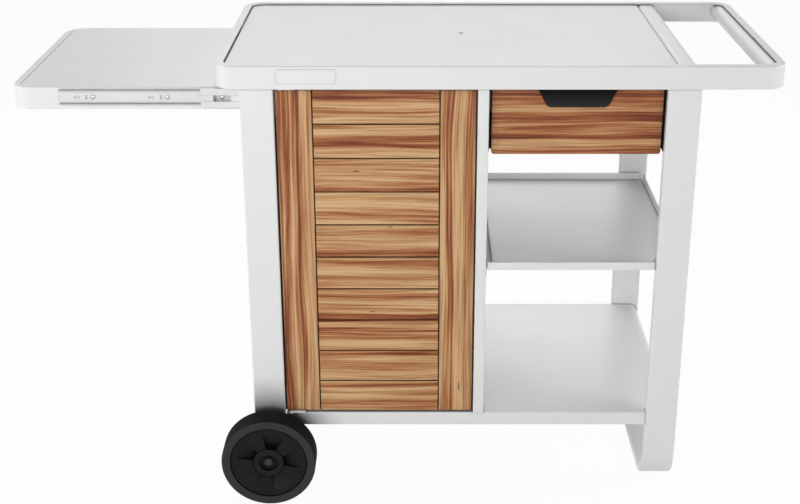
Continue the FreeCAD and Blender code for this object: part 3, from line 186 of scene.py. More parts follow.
def finish_surface(tree: Tree, *shader: Any) -> None:
    """Lead a material's last shader to its surface.

    Args:
        tree: The node tree.
        shader: The shader's type, settings and links.
    """
    add_node(tree, "OutputMaterial", links={"Surface": add_node(tree, *shader)})


def scale_colour(tree: Tree, colour: Feed, value: Feed, span: Span) -> Node:
    """Darken or lift a colour by what a value is.

    Args:
        tree: The node tree.
        colour: The colour so far.
        value: The value.
        span: Where the value starts and ends, and what the colour is scaled by there.

    Returns:
        The node of the new colour.
    """
    scale = add_node(tree, "MapRange", dict(enumerate(span, 1)), {0: value})
    return add_node(tree, "VectorMath", {"operation": "SCALE"}, {0: colour, "Scale": scale})


def paint_corner_shade(tree: Tree, colour: Feed, reach: float, span: Span, samples: int = 6) -> Node:
    """Paint shade into a colour where other surfaces stand close round it.

    Args:
        tree: The node tree.
        colour: The colour so far.
        reach: How near they count.
        span: The shares of open air at which the dark starts and ends, and its scales there.
        samples: Rays that look for them.

    Returns:
        The node of the new colour.
    """
    air = add_node(tree, "AmbientOcclusion", {"samples": samples, "Distance": reach})
    return scale_colour(tree, colour, air.outputs["AO"], span)


@dataclass(frozen=True)
class PowderCoat:
    """Polyester powder, sprayed dry on steel and baked to a satin skin."""

    name: str
    colour: str
    shade: str
    roughness: float = 0.34
    # The baked skin ripples every 2.5 mm or so, like the peel of an orange
    ripple: float = 2.5 * MM
    ripple_height: float = 0.02 * MM
    edge: float = 0.7 * MM
    specular: float = 0.5
    # Painted shade darkens it in gaps, slots and corners, over about this reach and down to the next
    # share of its tone
    corner: float = 5.0 * MM
    corner_shade: float = 0.25
    # Whether the tyre's shadow is painted on its faces that look to the front or back
    tyre_shadow: bool = False
    # It starts just inside the tyre's edge and is gone 60 mm outside it
    tyre_shadow_start: float = 80.0 * MM
    tyre_shadow_end: float = 150.0 * MM
    # How much of the coat's tone shows from the one to the other
    tyre_shadow_left: Pairs = ((0.0, 0.10), (0.1, 0.34), (0.41, 0.66), (0.73, 0.87), (1.0, 1.0))
    # The heights over which it is painted darker upwards, from full tone at the first to a twentieth at
    # the second: painted shade under the band
    painted_shade_heights: tuple[float, float] | None = None

    def make(self) -> Material:
        """Build the material.

        Returns:
            The material.
        """
        material, tree, at = start_material(self.name)
        cloud = add_node(tree, "TexNoise", {"Scale": 7.0, "Detail": 3.0}, {0: at})
        peel = add_node(tree, "TexNoise", {"Scale": 1.0 / self.ripple, "Detail": 1.0}, {0: at})
        tone = add_node(
            tree, "Mix",
            {"data_type": "RGBA", MIX_A: srgb(self.colour), MIX_B: srgb(self.shade)}, {0: cloud},
        )
        coat_shade_span = (0.35, 0.95, self.corner_shade, 1.0)
        coat = paint_corner_shade(tree, tone.outputs[MIX_OUT], self.corner, coat_shade_span, samples=5)
        if self.tyre_shadow:
            coat = self._with_tyre_shadow(tree, at, coat)
        if self.painted_shade_heights:
            split = add_node(tree, "SeparateXYZ", links={0: at})
            coat = scale_colour(tree, coat, split.outputs["Z"], (*self.painted_shade_heights, 1.0, 0.05))
        swing = {**NOISE_RANGE, 3: self.roughness - 0.03, 4: self.roughness + 0.04}
        gloss = add_node(tree, "MapRange", swing, {0: cloud})
        edge = add_node(tree, "Bevel", {"samples": 4, "Radius": self.edge})
        bump = add_node(
            tree, "Bump", {"Strength": 1.0, "Distance": self.ripple_height},
            {"Height": peel, "Normal": edge},
        )
        finish_surface(
            tree, "BsdfPrincipled", {"IOR": 1.5, "Specular IOR Level": self.specular},
            {"Base Color": coat, "Roughness": gloss, "Normal": bump},
        )
        return material

    def _with_tyre_shadow(self, tree: Tree, at: Socket, colour: Node) -> Node:
        """Paint the tyres' shadow on the faces that look to the cart's front or back.

        Args:
            tree: The node tree.
            at: The place on the cart.
            colour: The coat's colour.

        Returns:
            The node of the colour with the painted shadow.
        """
        away = add_node(tree, "VectorMath", {"operation": "SUBTRACT", 1: (AXLE_X, 0.0, AXLE_Z)}, {0: at})
        level = add_node(tree, "VectorMath", {"operation": "MULTIPLY", 1: (1.0, 0.0, 1.0)}, {0: away})
        reach = add_node(tree, "VectorMath", {"operation": "LENGTH"}, {0: level})
        span = add_node(
            tree, "MapRange", {1: self.tyre_shadow_start, 2: self.tyre_shadow_end}, {0: reach.outputs["Value"]}
        )
        left = add_node(tree, "FloatCurve", {"points": self.tyre_shadow_left}, {"Value": span})
        flat = add_node(tree, "NewGeometry")
        turned = add_node(tree, "VectorMath", {"operation": "ABSOLUTE"}, {0: flat.outputs["Normal"]})
        sides = add_node(tree, "SeparateXYZ", links={0: turned})
        unshadowed = add_node(tree, "Mix", {NUMBER_A: 1.0}, {0: sides.outputs["Y"], NUMBER_B: left})
        return add_node(tree, "VectorMath", {"operation": "SCALE"}, {0: colour, "Scale": unshadowed})


class Grain(Enum):
    """The way the fibres of a board run, by the axes along and across them."""

    LEVEL = (0, 2)
    UPRIGHT = (2, 0)


@dataclass(frozen=True)
class Knot:
    """A pin knot, with its middle along and across the grain and its half sizes."""

    along: float
    across: float
    length: float = 6.0 * MM
    width: float = 1.5 * MM


@dataclass(frozen=True)
class Board:
    """A board, with its low edge, its width and its bands of heartwood."""

    start: float
    width: float
    bands: Shares


@dataclass(frozen=True)
class Acacia:
    """Planed, rounded, oil finished acacia: tan sapwood streaked with red-brown heartwood."""

    name: str
    grain: Grain
    first_joint: float
    pitch: float
    seed: float
    low: float
    high: float
    boards: tuple[Board, ...]
    knots: tuple[Knot, ...] = ()
    sapwood: float = 0.22
    # Growth bands are 8 to 25 mm wide on a flat sawn face, and the streaks in them 2 to 4 mm
    growth: float = 11.0 * MM
    streak: float = 2.6 * MM
    fibre: float = 0.8 * MM
    fibre_height: float = 0.15 * MM
    # How much deeper the two make the tone
    growth_depth: float = 0.36
    streak_depth: float = 0.24
    # The fibres stray this far to each side, in waves of about 300 by 60 mm
    stray: float = 5.0 * MM
    # Boards side by side are cut from the tree up to this far apart, so that none matches
    apart: float = 90.0
    # A band fades out over this much at each side
    fade: float = 2.2 * MM
    # Edges are rounded over about this much, and a painted highlight makes them paler there
    edge_round_and_highlight: float = 3.0 * MM
    # Painted shade darkens the joints between the boards and the wood just under what overhangs it, over
    # about this reach
    wood_shade_reach: float = 22.0 * MM
    # What streaks, open fibres, the painted highlight on edges and the painted shade each do to the
    # colour
    streaked: Span = (0.34, 0.66, 1.05, 0.90)
    flecked: Span = (0.58, 0.72, 1.0, 0.78)
    edge_highlight: Span = (0.78, 0.99, 1.30, 1.0)
    painted_wood_shade: Span = (0.40, 0.94, 0.05, 1.0)
    # From sapwood to the deepest heartwood
    tones: tuple[tuple[float, str], ...] = (
        (0.02, "#D6AE80"), (0.22, "#C89C6D"), (0.40, "#BA875C"), (0.60, "#A86C41"),
        (0.82, "#8E4C28"), (1.00, "#6E3319"),
    )

    def make(self) -> Material:
        """Build the material.

        Returns:
            The material.
        """
        material, tree, at = start_material(self.name)
        grid, bent = self._board_grid(tree, at)
        growth = self._noise(tree, grid, 3.2, 1.0 / self.growth, 3.0)
        streak = self._noise(tree, grid, 6.0, 1.0 / self.streak, 3.0)
        fibre = self._noise(tree, grid, 60.0, 1.0 / self.fibre, 2.0)
        span = add_node(tree, "MapRange", {1: self.low, 2: self.high}, {0: bent})
        depth = add_node(tree, "FloatCurve", {"points": self._laid_points()}, {"Value": span})
        for noise, most in ((growth, self.growth_depth), (streak, self.streak_depth)):
            more = add_node(
                tree, "MapRange", {"clamp": False, 1: 0.5, 2: 0.7, 3: 0.0, 4: most}, {0: noise}
            )
            depth = add_node(tree, "Math", {"operation": "ADD"}, {0: depth, 1: more})
        wood = add_node(tree, "ValToRGB", {"stops": self.tones}, {0: depth})
        edge = add_node(tree, "Bevel", {"samples": 4, "Radius": self.edge_round_and_highlight})
        flat = add_node(tree, "NewGeometry")
        turned = add_node(
            tree, "VectorMath", {"operation": "DOT_PRODUCT"}, {0: edge, 1: flat.outputs["Normal"]}
        )
        wood = scale_colour(tree, wood, streak, self.streaked)
        wood = scale_colour(tree, wood, fibre, self.flecked)
        # Painted highlight on the edges
        wood = scale_colour(tree, wood, turned.outputs["Value"], self.edge_highlight)
        # Painted shade in the joints and under what overhangs the wood
        wood = paint_corner_shade(tree, wood, self.wood_shade_reach, self.painted_wood_shade)
        for knot in self.knots:
            wood = self._with_knot(tree, grid, wood, knot)
        gloss = add_node(tree, "MapRange", {1: 0.35, 2: 0.65, 3: 0.46, 4: 0.60}, {0: streak})
        bump = add_node(
            tree, "Bump", {"Strength": 0.6, "Distance": self.fibre_height},
            {"Height": fibre, "Normal": edge},
        )
        finish_surface(
            tree, "BsdfPrincipled", {"IOR": 1.48, "Specular IOR Level": 0.3},
            {"Base Color": wood, "Roughness": gloss, "Normal": bump},
        )
        return material

    def _laid_points(self) -> Points:
        """List how much heartwood there is across the boards.

        Returns:
            Places from 0 at the low edge to 1 at the high one, each with its depth of tone.
        """
        # The curve takes no two points at one place
        least = 0.001
        points = [(0.0, self.sapwood)]
        bands = sorted(
            (board.start + board.width * middle, board.width * half, heart)
            for board in self.boards
            for middle, half, heart in board.bands
        )
        for middle, half, heart in bands:
            steps = (
                (-half - self.fade, self.sapwood), (-half, heart),
                (half, heart), (half + self.fade, self.sapwood),
            )
            for step, tone in steps:
                place = (middle + step - self.low) / (self.high - self.low)
                if points[-1][0] + least < place < 1.0:
                    points.append((place, tone))
        return points + [(1.0, points[-1][1])]

    def _board_grid(self, tree: Tree, at: Socket) -> tuple[Node, Node]:
        """Lay out a place in the boards: along the fibres, across them, and the board's own number.

        Args:
            tree: The node tree.
            at: The place on the cart.

        Returns:
            That place with the slow waver of the fibres in it, and the place across them alone.
        """
        split = add_node(tree, "SeparateXYZ", links={0: at})
        along, across = (split.outputs[axis] for axis in self.grain.value)
        start = add_node(tree, "Math", {"operation": "SUBTRACT", 1: self.first_joint}, {0: across})
        count = add_node(tree, "Math", {"operation": "DIVIDE", 1: self.pitch}, {0: start})
        board = add_node(tree, "Math", {"operation": "FLOOR"}, {0: count})
        chance = add_node(tree, "Math", {"operation": "ADD", 1: self.seed}, {0: board})
        number = add_node(tree, "TexWhiteNoise", {"noise_dimensions": "1D"}, {"W": chance})
        depth = add_node(
            tree, "Math", {"operation": "MULTIPLY_ADD", 1: self.apart},
            {0: number.outputs["Value"], 2: split.outputs["Y"]},
        )
        plain_grid = add_node(tree, "CombineXYZ", links={0: along, 1: across, 2: depth})
        waver = self._noise(tree, plain_grid, 3.2, 16.0, 1.0)
        swing = add_node(tree, "MapRange", {1: 0.25, 2: 0.75, 3: -self.stray, 4: self.stray}, {0: waver})
        bent = add_node(tree, "Math", {"operation": "ADD"}, {0: across, 1: swing})
        grid = add_node(tree, "CombineXYZ", links={0: along, 1: bent, 2: depth})
        return grid, bent

    def _noise(self, tree: Tree, grid: Node, along: float, across: float, detail: float) -> Node:
        """Draw out a noise along the fibres.

        Args:
            tree: The node tree.
            grid: The place in the boards.
            along: Features in a metre along the fibres.
            across: Features in a metre across them.
            detail: The noise's octaves.

        Returns:
            The noise node.
        """
        drawn = add_node(
            tree, "VectorMath", {"operation": "MULTIPLY", 1: (along, across, 1.0)}, {0: grid}
        )
        return add_node(tree, "TexNoise", {"Scale": 1.0, "Detail": detail, "Roughness": 0.55}, {0: drawn})

    def _with_knot(self, tree: Tree, grid: Node, surface: Feed, knot: Knot) -> Socket:
        """Set a pin knot in the wood.

        Args:
            tree: The node tree.
            grid: The place in the boards.
            surface: The colour so far.
            knot: The knot.

        Returns:
            The colour with the knot in it.
        """
        away = add_node(
            tree, "VectorMath", {"operation": "SUBTRACT", 1: (knot.along, knot.across, 0.0)}, {0: grid}
        )
        drawn = add_node(
            tree, "VectorMath",
            {"operation": "MULTIPLY", 1: (1.0 / knot.length, 1.0 / knot.width, 0.0)}, {0: away},
        )
        reach = add_node(tree, "VectorMath", {"operation": "LENGTH"}, {0: drawn})
        share = add_node(tree, "MapRange", {1: 0.3, 2: 1.5, 3: 0.9, 4: 0.0}, {0: reach.outputs["Value"]})
        dark = add_node(
            tree, "Mix", {"data_type": "RGBA", MIX_B: srgb("#4B2412")}, {0: share, MIX_A: surface}
        )
        return dark.outputs[MIX_OUT]


@dataclass(frozen=True)
class MouldedPlastic:
    """Plastic moulded in a lightly spark-eroded tool, which leaves a fine even grit."""

    name: str
    colour: str
    roughness: float
    specular: float = 0.4
    # The tool's grit is about 0.15 mm, drawn at 0.8 mm so that it shows
    grit: float = 0.8 * MM
    grit_height: float = 0.03 * MM
    # Painted shade darkens the corners, over about this reach
    corner: float = 5.0 * MM
    edge: float = 0.5 * MM

    def make(self) -> Material:
        """Build the material.

        Returns:
            The material.
        """
        material, tree, at = start_material(self.name)
        grit = add_node(tree, "TexNoise", {"Scale": 1.0 / self.grit, "Detail": 2.0}, {0: at})
        flow = add_node(tree, "TexNoise", {"Scale": 18.0, "Detail": 2.0}, {0: at})
        base = Vector(srgb(self.colour)[:3])
        tone = add_node(
            tree, "Mix",
            {"data_type": "RGBA", MIX_A: (*(base * 0.85), 1.0), MIX_B: (*(base * 1.18), 1.0)},
            {0: flow},
        )
        plastic_shade_span = (0.35, 0.95, 0.2, 1.0)
        shade = paint_corner_shade(tree, tone.outputs[MIX_OUT], self.corner, plastic_shade_span)
        swing = {**NOISE_RANGE, 3: self.roughness - 0.05, 4: self.roughness + 0.06}
        gloss = add_node(tree, "MapRange", swing, {0: flow})
        edge = add_node(tree, "Bevel", {"samples": 4, "Radius": self.edge})
        bump = add_node(
            tree, "Bump", {"Strength": 0.7, "Distance": self.grit_height},
            {"Height": grit, "Normal": edge},
        )
        finish_surface(
            tree, "BsdfPrincipled", {"IOR": 1.49, "Specular IOR Level": self.specular},
            {"Base Color": shade, "Roughness": gloss, "Normal": bump},
        )
        return material


@dataclass(frozen=True)
class ZincPlate:
    """Steel under bright zinc: cool grey metal with a faint cloudy bloom."""

    name: str
    colour: str = "#C6C9CC"
    bloomed: str = "#A9ADB2"
    roughness: float = 0.32
    bloom: float = 6.25 * MM

    def make(self) -> Material:
        """Build the material.

        Returns:
            The material.
        """
        material, tree, at = start_material(self.name)
        bloom = add_node(tree, "TexNoise", {"Scale": 1.0 / self.bloom, "Detail": 3.0}, {0: at})
        tone = add_node(
            tree, "Mix",
            {"data_type": "RGBA", MIX_A: srgb(self.colour), MIX_B: srgb(self.bloomed)}, {0: bloom},
        )
        swing = {**NOISE_RANGE, 3: self.roughness - 0.08, 4: self.roughness + 0.10}
        gloss = add_node(tree, "MapRange", swing, {0: bloom})
        finish_surface(
            tree, "BsdfPrincipled", {"Metallic": 1.0},
            {"Base Color": tone.outputs[MIX_OUT], "Roughness": gloss},
        )
        return material


@dataclass(frozen=True)
class StudioFloor:
    """Matt white paper: the background in the picture, and the floor for the shadow."""

    name: str
    colour: str = "#FBFBFA"
    # What the paper throws back on the object from below
    bounce: str = "#EEEEED"
    # How much of the floor's brightness in the picture is plain white, and not lit paper
    even: float = 0.95

    def make(self) -> Material:
        """Build the material.

        Returns:
            The material.
        """
        material, tree, at = start_material(self.name)
        tooth = add_node(tree, "TexNoise", {"Scale": 900.0, "Detail": 2.0}, {0: at})
        bump = add_node(tree, "Bump", {"Strength": 0.2, "Distance": 0.1 * MM}, {"Height": tooth})
        seen = seen_rays(tree)
        tone = add_node(
            tree, "Mix",
            {"data_type": "RGBA", MIX_A: srgb(self.bounce), MIX_B: srgb(self.colour)}, {0: seen},
        )
        paper = add_node(tree, "BsdfDiffuse", links={"Color": tone.outputs[MIX_OUT], "Normal": bump})
        white = add_node(tree, "Emission", {"Color": srgb("#FFFFFF")})
        share = add_node(tree, "Math", {"operation": "MULTIPLY", 1: self.even}, {0: seen})
        finish_surface(tree, "MixShader", {}, {0: share, 1: paper, 2: white})
        return material


def seen_rays(tree: Tree) -> Feed:
    """Tell the rays that show a surface, straight on or in gloss or glass, from those that light.

    Args:
        tree: The node tree.

    Returns:
        What is 1 for camera, glossy and transmission rays, else 0.
    """
    path = add_node(tree, "LightPath")
    seen: Feed = path.outputs["Is Camera Ray"]
    for ray in ("Is Glossy Ray", "Is Transmission Ray"):
        seen = add_node(tree, "Math", {"operation": "MAXIMUM"}, {0: seen, 1: path.outputs[ray]})
    return seen


def make_piece(
    name: str, form: Form, finishes: tuple[Material, ...], body: str, sharp: float = 35.0
) -> bpy.types.Object:
    """Turn a finished form into a piece that rides on a body.

    Args:
        name: The piece's name.
        form: Its faces, in the cart's frame. It is freed.
        finishes: The finishes that its faces number.
        body: The body that it moves with.
        sharp: Edges that turn by more than this many degrees stay crisp.

    Returns:
        The new object.
    """
    bmesh.ops.recalc_face_normals(form, faces=form.faces)
    for face in form.faces:
        face.smooth = True
    for edge in form.edges:
        edge.smooth = edge.calc_face_angle(math.pi) < math.radians(sharp)
    mesh = bpy.data.meshes.new(name)
    form.to_mesh(mesh)
    form.free()
    for material in finishes:
        mesh.materials.append(material)
    piece = bpy.data.objects.new(name, mesh)
    bpy.context.scene.collection.objects.link(piece)
    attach(piece, body)
    LOG.info("built %s on %s", name, body)
    return piece


def face_outward(x: float, depth: float, z: float, side: float) -> Matrix:
    """Turn local Z to look straight out of the cart's front or back.

    Args:
        x: The local origin's place in X.
        depth: How far it lies from the cart's middle.
        z: Its height.
        side: 1 to face the back, -1 to face the front.

    Returns:
        The matrix that does it.
    """
    turn = Matrix.Rotation(math.radians(-90.0 * side), 4, "X")
    return Matrix.Translation(Vector((x, side * depth, z))) @ turn


def join_rings(form: Form, low: Ring, high: Ring) -> None:
    """Put faces between two rings of corners, of which one may be a single corner.

    Args:
        form: The form that gets the faces.
        low: One ring.
        high: The other.
    """
    steps = max(len(low), len(high))
    for step in range(steps):
        after = (step + 1) % steps
        corners = [low[step % len(low)], low[after % len(low)]]
        corners += [high[after % len(high)], high[step % len(high)]]
        form.faces.new(list(dict.fromkeys(corners)))


def turn_profile(form: Form, outline: Points, where: Matrix, steps: int) -> list[Ring]:
    """Turn an outline round an axis.

    Args:
        form: The form that gets the faces.
        outline: Heights along the axis and radii. An end at radius 0 closes the form there.
        where: Carries the axis from local Z to its place.
        steps: Faces round the axis.

    Returns:
        The rings of corners, in the outline's order.
    """
    rings = []
    for height, radius in outline:
        ring = []
        for step in range(steps if radius > WELD else 1):
            turn = 2.0 * math.pi * step / steps
            point = Vector((radius * math.cos(turn), radius * math.sin(turn), height))
            ring.append(form.verts.new(where @ point))
        rings.append(ring)
    for low, high in zip(rings, rings[1:]):
        join_rings(form, low, high)
    return rings


def arc(middle: tuple[float, float], radius: float, start: float, end: float, count: int) -> Points:
    """List points on an arc.

    Args:
        middle: The arc's centre.
        radius: Its radius.
        start: The angle it starts at, in degrees.
        end: The angle it ends at.
        count: How many points.

    Returns:
        The points, from start to end.
    """
    points = []
    for index in range(count):
        turn = math.radians(start + (end - start) * index / (count - 1))
        points.append((middle[0] + radius * math.cos(turn), middle[1] + radius * math.sin(turn)))
    return points


class Finishes:
    """The cart's finishes, each made once."""

    def __init__(self) -> None:
        """Build every material."""
        # Satin white polyester over steel: soft broad highlights, no sparkle
        self.white = PowderCoat("White_powder_coat", "#EAEAEA", "#E6E6E6").make()
        # The same coat near the wheels, with the tyres' shadow painted on it
        self.tyre_shaded = PowderCoat("Tyre_shaded_white_powder_coat", "#EAEAEA", "#E6E6E6", tyre_shadow=True).make()
        # Satin black polyester: dark, with grey at grazing angles
        self.black = PowderCoat(
            "Black_powder_coat", "#1B1B1C", "#151516", roughness=0.40, specular=0.35
        ).make()
        # Cold rolled slide steel under thin pale lacquer: a little cooler than the coat
        # Painted shade is deeper in its slots and gaps than on the coat
        self.slide = PowderCoat(
            "Lacquered_slide_steel", "#E6E7E8", "#DADCDE", roughness=0.28, ripple=1.2 * MM,
            ripple_height=0.006 * MM, edge=0.3 * MM, corner=4.0 * MM, corner_shade=0.1,
        ).make()
        # Zinc plated fasteners and axle: bright, slightly cloudy metal
        self.zinc = ZincPlate("Zinc_plated_steel").make()
        # Matt black polyester, painted darker towards its top as the shade under the band
        self.pull = PowderCoat(
            "Black_pull_powder_coat", "#303031", "#2C2C2D", roughness=0.45, specular=0.05,
            painted_shade_heights=(772.0 * MM, 803.0 * MM),
        ).make()
        # Solid rubber: matt charcoal that takes no clear reflection
        self.rubber = MouldedPlastic(
            "Moulded_tyre_rubber", "#282828", 0.72, specular=0.3, grit=1.1 * MM, corner=3.0 * MM
        ).make()
        # A darker copy of the tyre rubber for the tread: painted shade
        self.tread = MouldedPlastic(
            "Tread_rubber_painted_shade", "#151515", 0.80, specular=0.12, grit=1.1 * MM, corner=3.0 * MM
        ).make()
        # Polypropylene hubs and bushes: near black with a dull sheen
        self.hub = MouldedPlastic("Moulded_polypropylene", "#0D0D0D", 0.55, specular=0.14).make()
        # Near-black painted shade, for the ring round the collar's foot and the gap round the hub
        self.shade_black = MouldedPlastic("Painted_shade_black", "#040404", 0.9, specular=0.06).make()
        # The collar is turned after moulding, which leaves it a shade glossier
        self.collar = MouldedPlastic(
            "Turned_polypropylene", "#0B0B0B", 0.42, specular=0.16, corner=2.0 * MM
        ).make()
        # Charcoal nylon of the axle caps and the catch: grey beside the black of the hubs
        self.grey = MouldedPlastic(
            "Moulded_charcoal_nylon", "#2B2B2C", 0.50, specular=0.3, corner=1.5 * MM
        ).make()


@dataclass
class Assembly:
    """A sub-assembly of the cart."""

    nodes: dict[str, bpy.types.Object]
    finishes: Finishes

    def dress(self, material: Material, *names: str) -> None:
        """Give CAD nodes a finish.

        Args:
            material: The finish.
            names: The nodes.
        """
        for name in names:
            for slot in self.nodes[name].material_slots:
                slot.material = material
            LOG.info("dressed %s in %s", name, material.name)


@dataclass
class Top(Assembly):
    """The folded band with its push handle, the worktop and the rails under it."""

    plate_left: float = -210.0 * MM
    plate_right: float = -105.3 * MM
    plate_bottom: float = 819.2 * MM
    plate_top: float = 843.6 * MM
    plate_thick: float = 1.0 * MM
    plate_corner: float = 1.6 * MM
    plate_bevel: float = 0.45 * MM
    corner_points: int = 6
    band_face: float = -271.0 * MM

    def build(self) -> None:
        """Dress the top and set the bare plate on the band's front."""
        steel = ("top_band", "worktop_panel", "worktop_stiffeners", "handle_grip")
        rails = ("top_cross_rail", "front_top_rail", "back_top_rail")
        self.dress(self.finishes.white, *steel, *rails)
        self._bare_plate()

    def _bare_plate(self) -> None:
        """Stamp a thin plate with rounded corners and a bevelled edge, with nothing on it."""
        form = bmesh.new()
        levels = (
            (0.0, 0.0), (self.plate_thick - self.plate_bevel, 0.0), (self.plate_thick, self.plate_bevel)
        )
        rings = [
            [form.verts.new((x, self.band_face - proud, z)) for x, z in self._plate_outline(inset)]
            for proud, inset in levels
        ]
        for low, high in zip(rings, rings[1:]):
            join_rings(form, low, high)
        form.faces.new(rings[0])
        form.faces.new(rings[-1])
        make_piece("bare_plate", form, (self.finishes.white,), "cart_frame", 25.0)

    def _plate_outline(self, inset: float) -> Points:
        """List the plate's outline.

        Args:
            inset: How far inside the plate's edge it runs.

        Returns:
            Places in X and Z.
        """
        radius = self.plate_corner
        left = self.plate_left + radius
        right = self.plate_right - radius
        low = self.plate_bottom + radius
        high = self.plate_top - radius
        corners = ((right, high, 0.0), (left, high, 90.0), (left, low, 180.0), (right, low, 270.0))
        outline: Points = []
        for x, z, start in corners:
            outline += arc((x, z), radius - inset, start, start + 90.0, self.corner_points)
        return outline


@dataclass
class SideShelf(Assembly):
    """The shelf on the left, its ball bearing slides and the screws that hold them."""

    screw_x: tuple[float, ...] = (-544.2 * MM, -410.2 * MM, -311.2 * MM)
    screw_z: float = 784.1 * MM
    seat: float = 234.5 * MM
    head_radius: float = 3.6 * MM
    head_height: float = 2.0 * MM
    # The pan head's profile, as shares of its height and radius
    head_profile: Pairs = ((0.0, 0.0), (0.0, 1.0), (0.45, 1.0), (0.8, 0.93), (1.0, 0.74))
    head_steps: int = 28
    cross_reach: float = 2.1 * MM
    cross_half: float = 0.45 * MM
    cross_depth: float = 1.2 * MM
    # The cross is this much smaller at its floor
    cross_taper: float = 0.6

    def build(self) -> None:
        """Dress the shelf and put cross heads on its screws."""
        panels = ("shelf_panel", "shelf_end_trim", "shelf_ribs", "shelf_slide_supports")
        self.dress(self.finishes.white, *panels)
        for member in ("outer", "middle", "inner"):
            name = f"shelf_slide_{member}"
            self.dress(self.finishes.slide, f"{name}_front", f"{name}_rear")
        self.dress(self.finishes.zinc, "shelf_slide_cages")
        form = bmesh.new()
        for x in self.screw_x:
            for side in (-1.0, 1.0):
                self._cross_head(form, face_outward(x, self.seat, self.screw_z, side))
        heads = make_piece("shelf_cross_screws", form, (self.finishes.zinc,), "side_shelf")
        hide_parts("shelf_screws")

    def _cross_head(self, form: Form, where: Matrix) -> None:
        """Raise one pan head with a cross cut into it.

        Args:
            form: The form that gets its faces.
            where: Carries the middle of its seat, and local Z, to their places.
        """
        profile = [(rise * self.head_height, out * self.head_radius) for rise, out in self.head_profile]
        rim = turn_profile(form, profile, where, self.head_steps)[-1]
        loops = []
        for share, depth in ((1.0, 0.0), (self.cross_taper, self.cross_depth)):
            level = self.head_height - depth
            loops.append([
                form.verts.new(where @ Vector((share * x, share * y, level)))
                for x, y in self._cross_outline()
            ])
        cross, floor = loops
        edges = [
            form.edges.get(ends) or form.edges.new(ends)
            for loop in (rim, cross)
            for ends in zip(loop, loop[1:] + loop[:1])
        ]
        bmesh.ops.triangle_fill(form, use_beauty=True, edges=edges)
        join_rings(form, cross, floor)
        form.faces.new(floor)

    def _cross_outline(self) -> Points:
        """List the corners of the cross.

        Returns:
            Places across the head.
        """
        half = self.cross_half
        quarter = [(self.cross_reach, -half), (self.cross_reach, half), (half, half)]
        corners: Points = []
        for _ in range(4):
            corners += quarter
            quarter = [(-y, x) for x, y in quarter]
        return corners


@dataclass
class LegFrame(Assembly):
    """The legs, the runner and the centre posts, with their caps and screws."""

    def build(self) -> None:
        """Dress the legs."""
        # The legs by the wheels carry the painted tyre shadow
        self.dress(self.finishes.tyre_shaded, "left_front_leg", "left_rear_leg")
        self.dress(self.finishes.white, "right_side_frame", "centre_front_post", "centre_rear_post")
        self.dress(self.finishes.hub, "leg_end_caps")
        self.dress(self.finishes.zinc, "frame_screws", "axle")


@dataclass
class Cupboard(Assembly):
    """The cupboard's panels and the two shelf pans."""

    def build(self) -> None:
        """Dress the panels and shelves."""
        panels = ("partition_panel", "cabinet_left_panel", "cabinet_back_panel")
        # The bottom shelf carries the painted tyre shadow
        self.dress(self.finishes.tyre_shaded, "bottom_shelf")
        self.dress(self.finishes.white, "mid_shelf", "mid_shelf_rails", *panels)
        self.dress(self.finishes.grey, "door_catch")


@dataclass
class Door(Assembly):
    """The slatted door between two stiles, its back sheet and its pivots."""

    left: float = -214.0 * MM
    right: float = 144.1 * MM
    bottom: float = 164.0 * MM
    top: float = 806.0 * MM
    stile: float = 64.0 * MM
    # Each slat's heartwood, from the lowest slat up
    slat_bands: tuple[Shares, ...] = (
        ((0.20, 0.14, 0.58), (0.87, 0.05, 0.72)),
        ((0.42, 0.13, 0.54), (0.86, 0.05, 0.74)),
        ((0.48, 0.10, 0.52), (0.72, 0.06, 0.70)),
        ((0.10, 0.10, 0.86), (0.79, 0.04, 0.68)),
        ((0.36, 0.05, 0.56), (0.84, 0.06, 0.62)),
        ((0.17, 0.13, 0.70), (0.84, 0.08, 0.64)),
        ((0.14, 0.03, 0.52), (0.29, 0.04, 0.60)),
        ((0.11, 0.07, 0.66), (0.26, 0.03, 0.50), (0.79, 0.04, 0.56)),
        ((0.46, 0.15, 0.62),),
        ((0.22, 0.02, 0.58), (0.36, 0.04, 0.52), (0.85, 0.10, 0.84)),
    )
    # Each stile's, from its left edge
    left_bands: Shares = (
        (0.06, 0.06, 0.88), (0.26, 0.08, 0.64), (0.48, 0.02, 0.44), (0.58, 0.03, 0.84), (0.96, 0.02, 0.46)
    )
    right_bands: Shares = (
        (0.14, 0.03, 0.42), (0.24, 0.03, 0.66), (0.34, 0.02, 0.86), (0.75, 0.01, 0.60), (0.88, 0.06, 0.54)
    )

    def build(self) -> None:
        """Dress the door."""
        pitch = (self.top - self.bottom) / len(self.slat_bands)
        rows = enumerate(self.slat_bands)
        slats = Acacia(
            "Oiled_acacia_slats", Grain.LEVEL, self.bottom, pitch, seed=11.0,
            low=self.bottom, high=self.top,
            boards=tuple(Board(self.bottom + pitch * row, pitch, bands) for row, bands in rows),
            knots=(
                Knot(-72.0 * MM, 651.0 * MM),
                Knot(-12.0 * MM, 548.0 * MM, 5.0 * MM, 1.2 * MM),
                Knot(-46.0 * MM, 374.0 * MM, 5.0 * MM, 1.0 * MM),
            ),
        ).make()
        stiles = Acacia(
            "Oiled_acacia_stiles", Grain.UPRIGHT, (self.left + self.right) / 2.0,
            self.right - self.left, seed=4.0, low=self.left, high=self.right,
            boards=(
                Board(self.left, self.stile, self.left_bands),
                Board(self.right - self.stile, self.stile, self.right_bands),
            ),
            knots=(Knot(216.0 * MM, 117.0 * MM, 8.0 * MM, 1.6 * MM),),
        ).make()
        self.dress(slats, "door_slats")
        self.dress(stiles, "door_stiles")
        self.dress(self.finishes.black, "door_back_panel", "door_edge_strip")
        self.dress(self.finishes.white, "door_hinge_brackets", "door_pivot_plates")


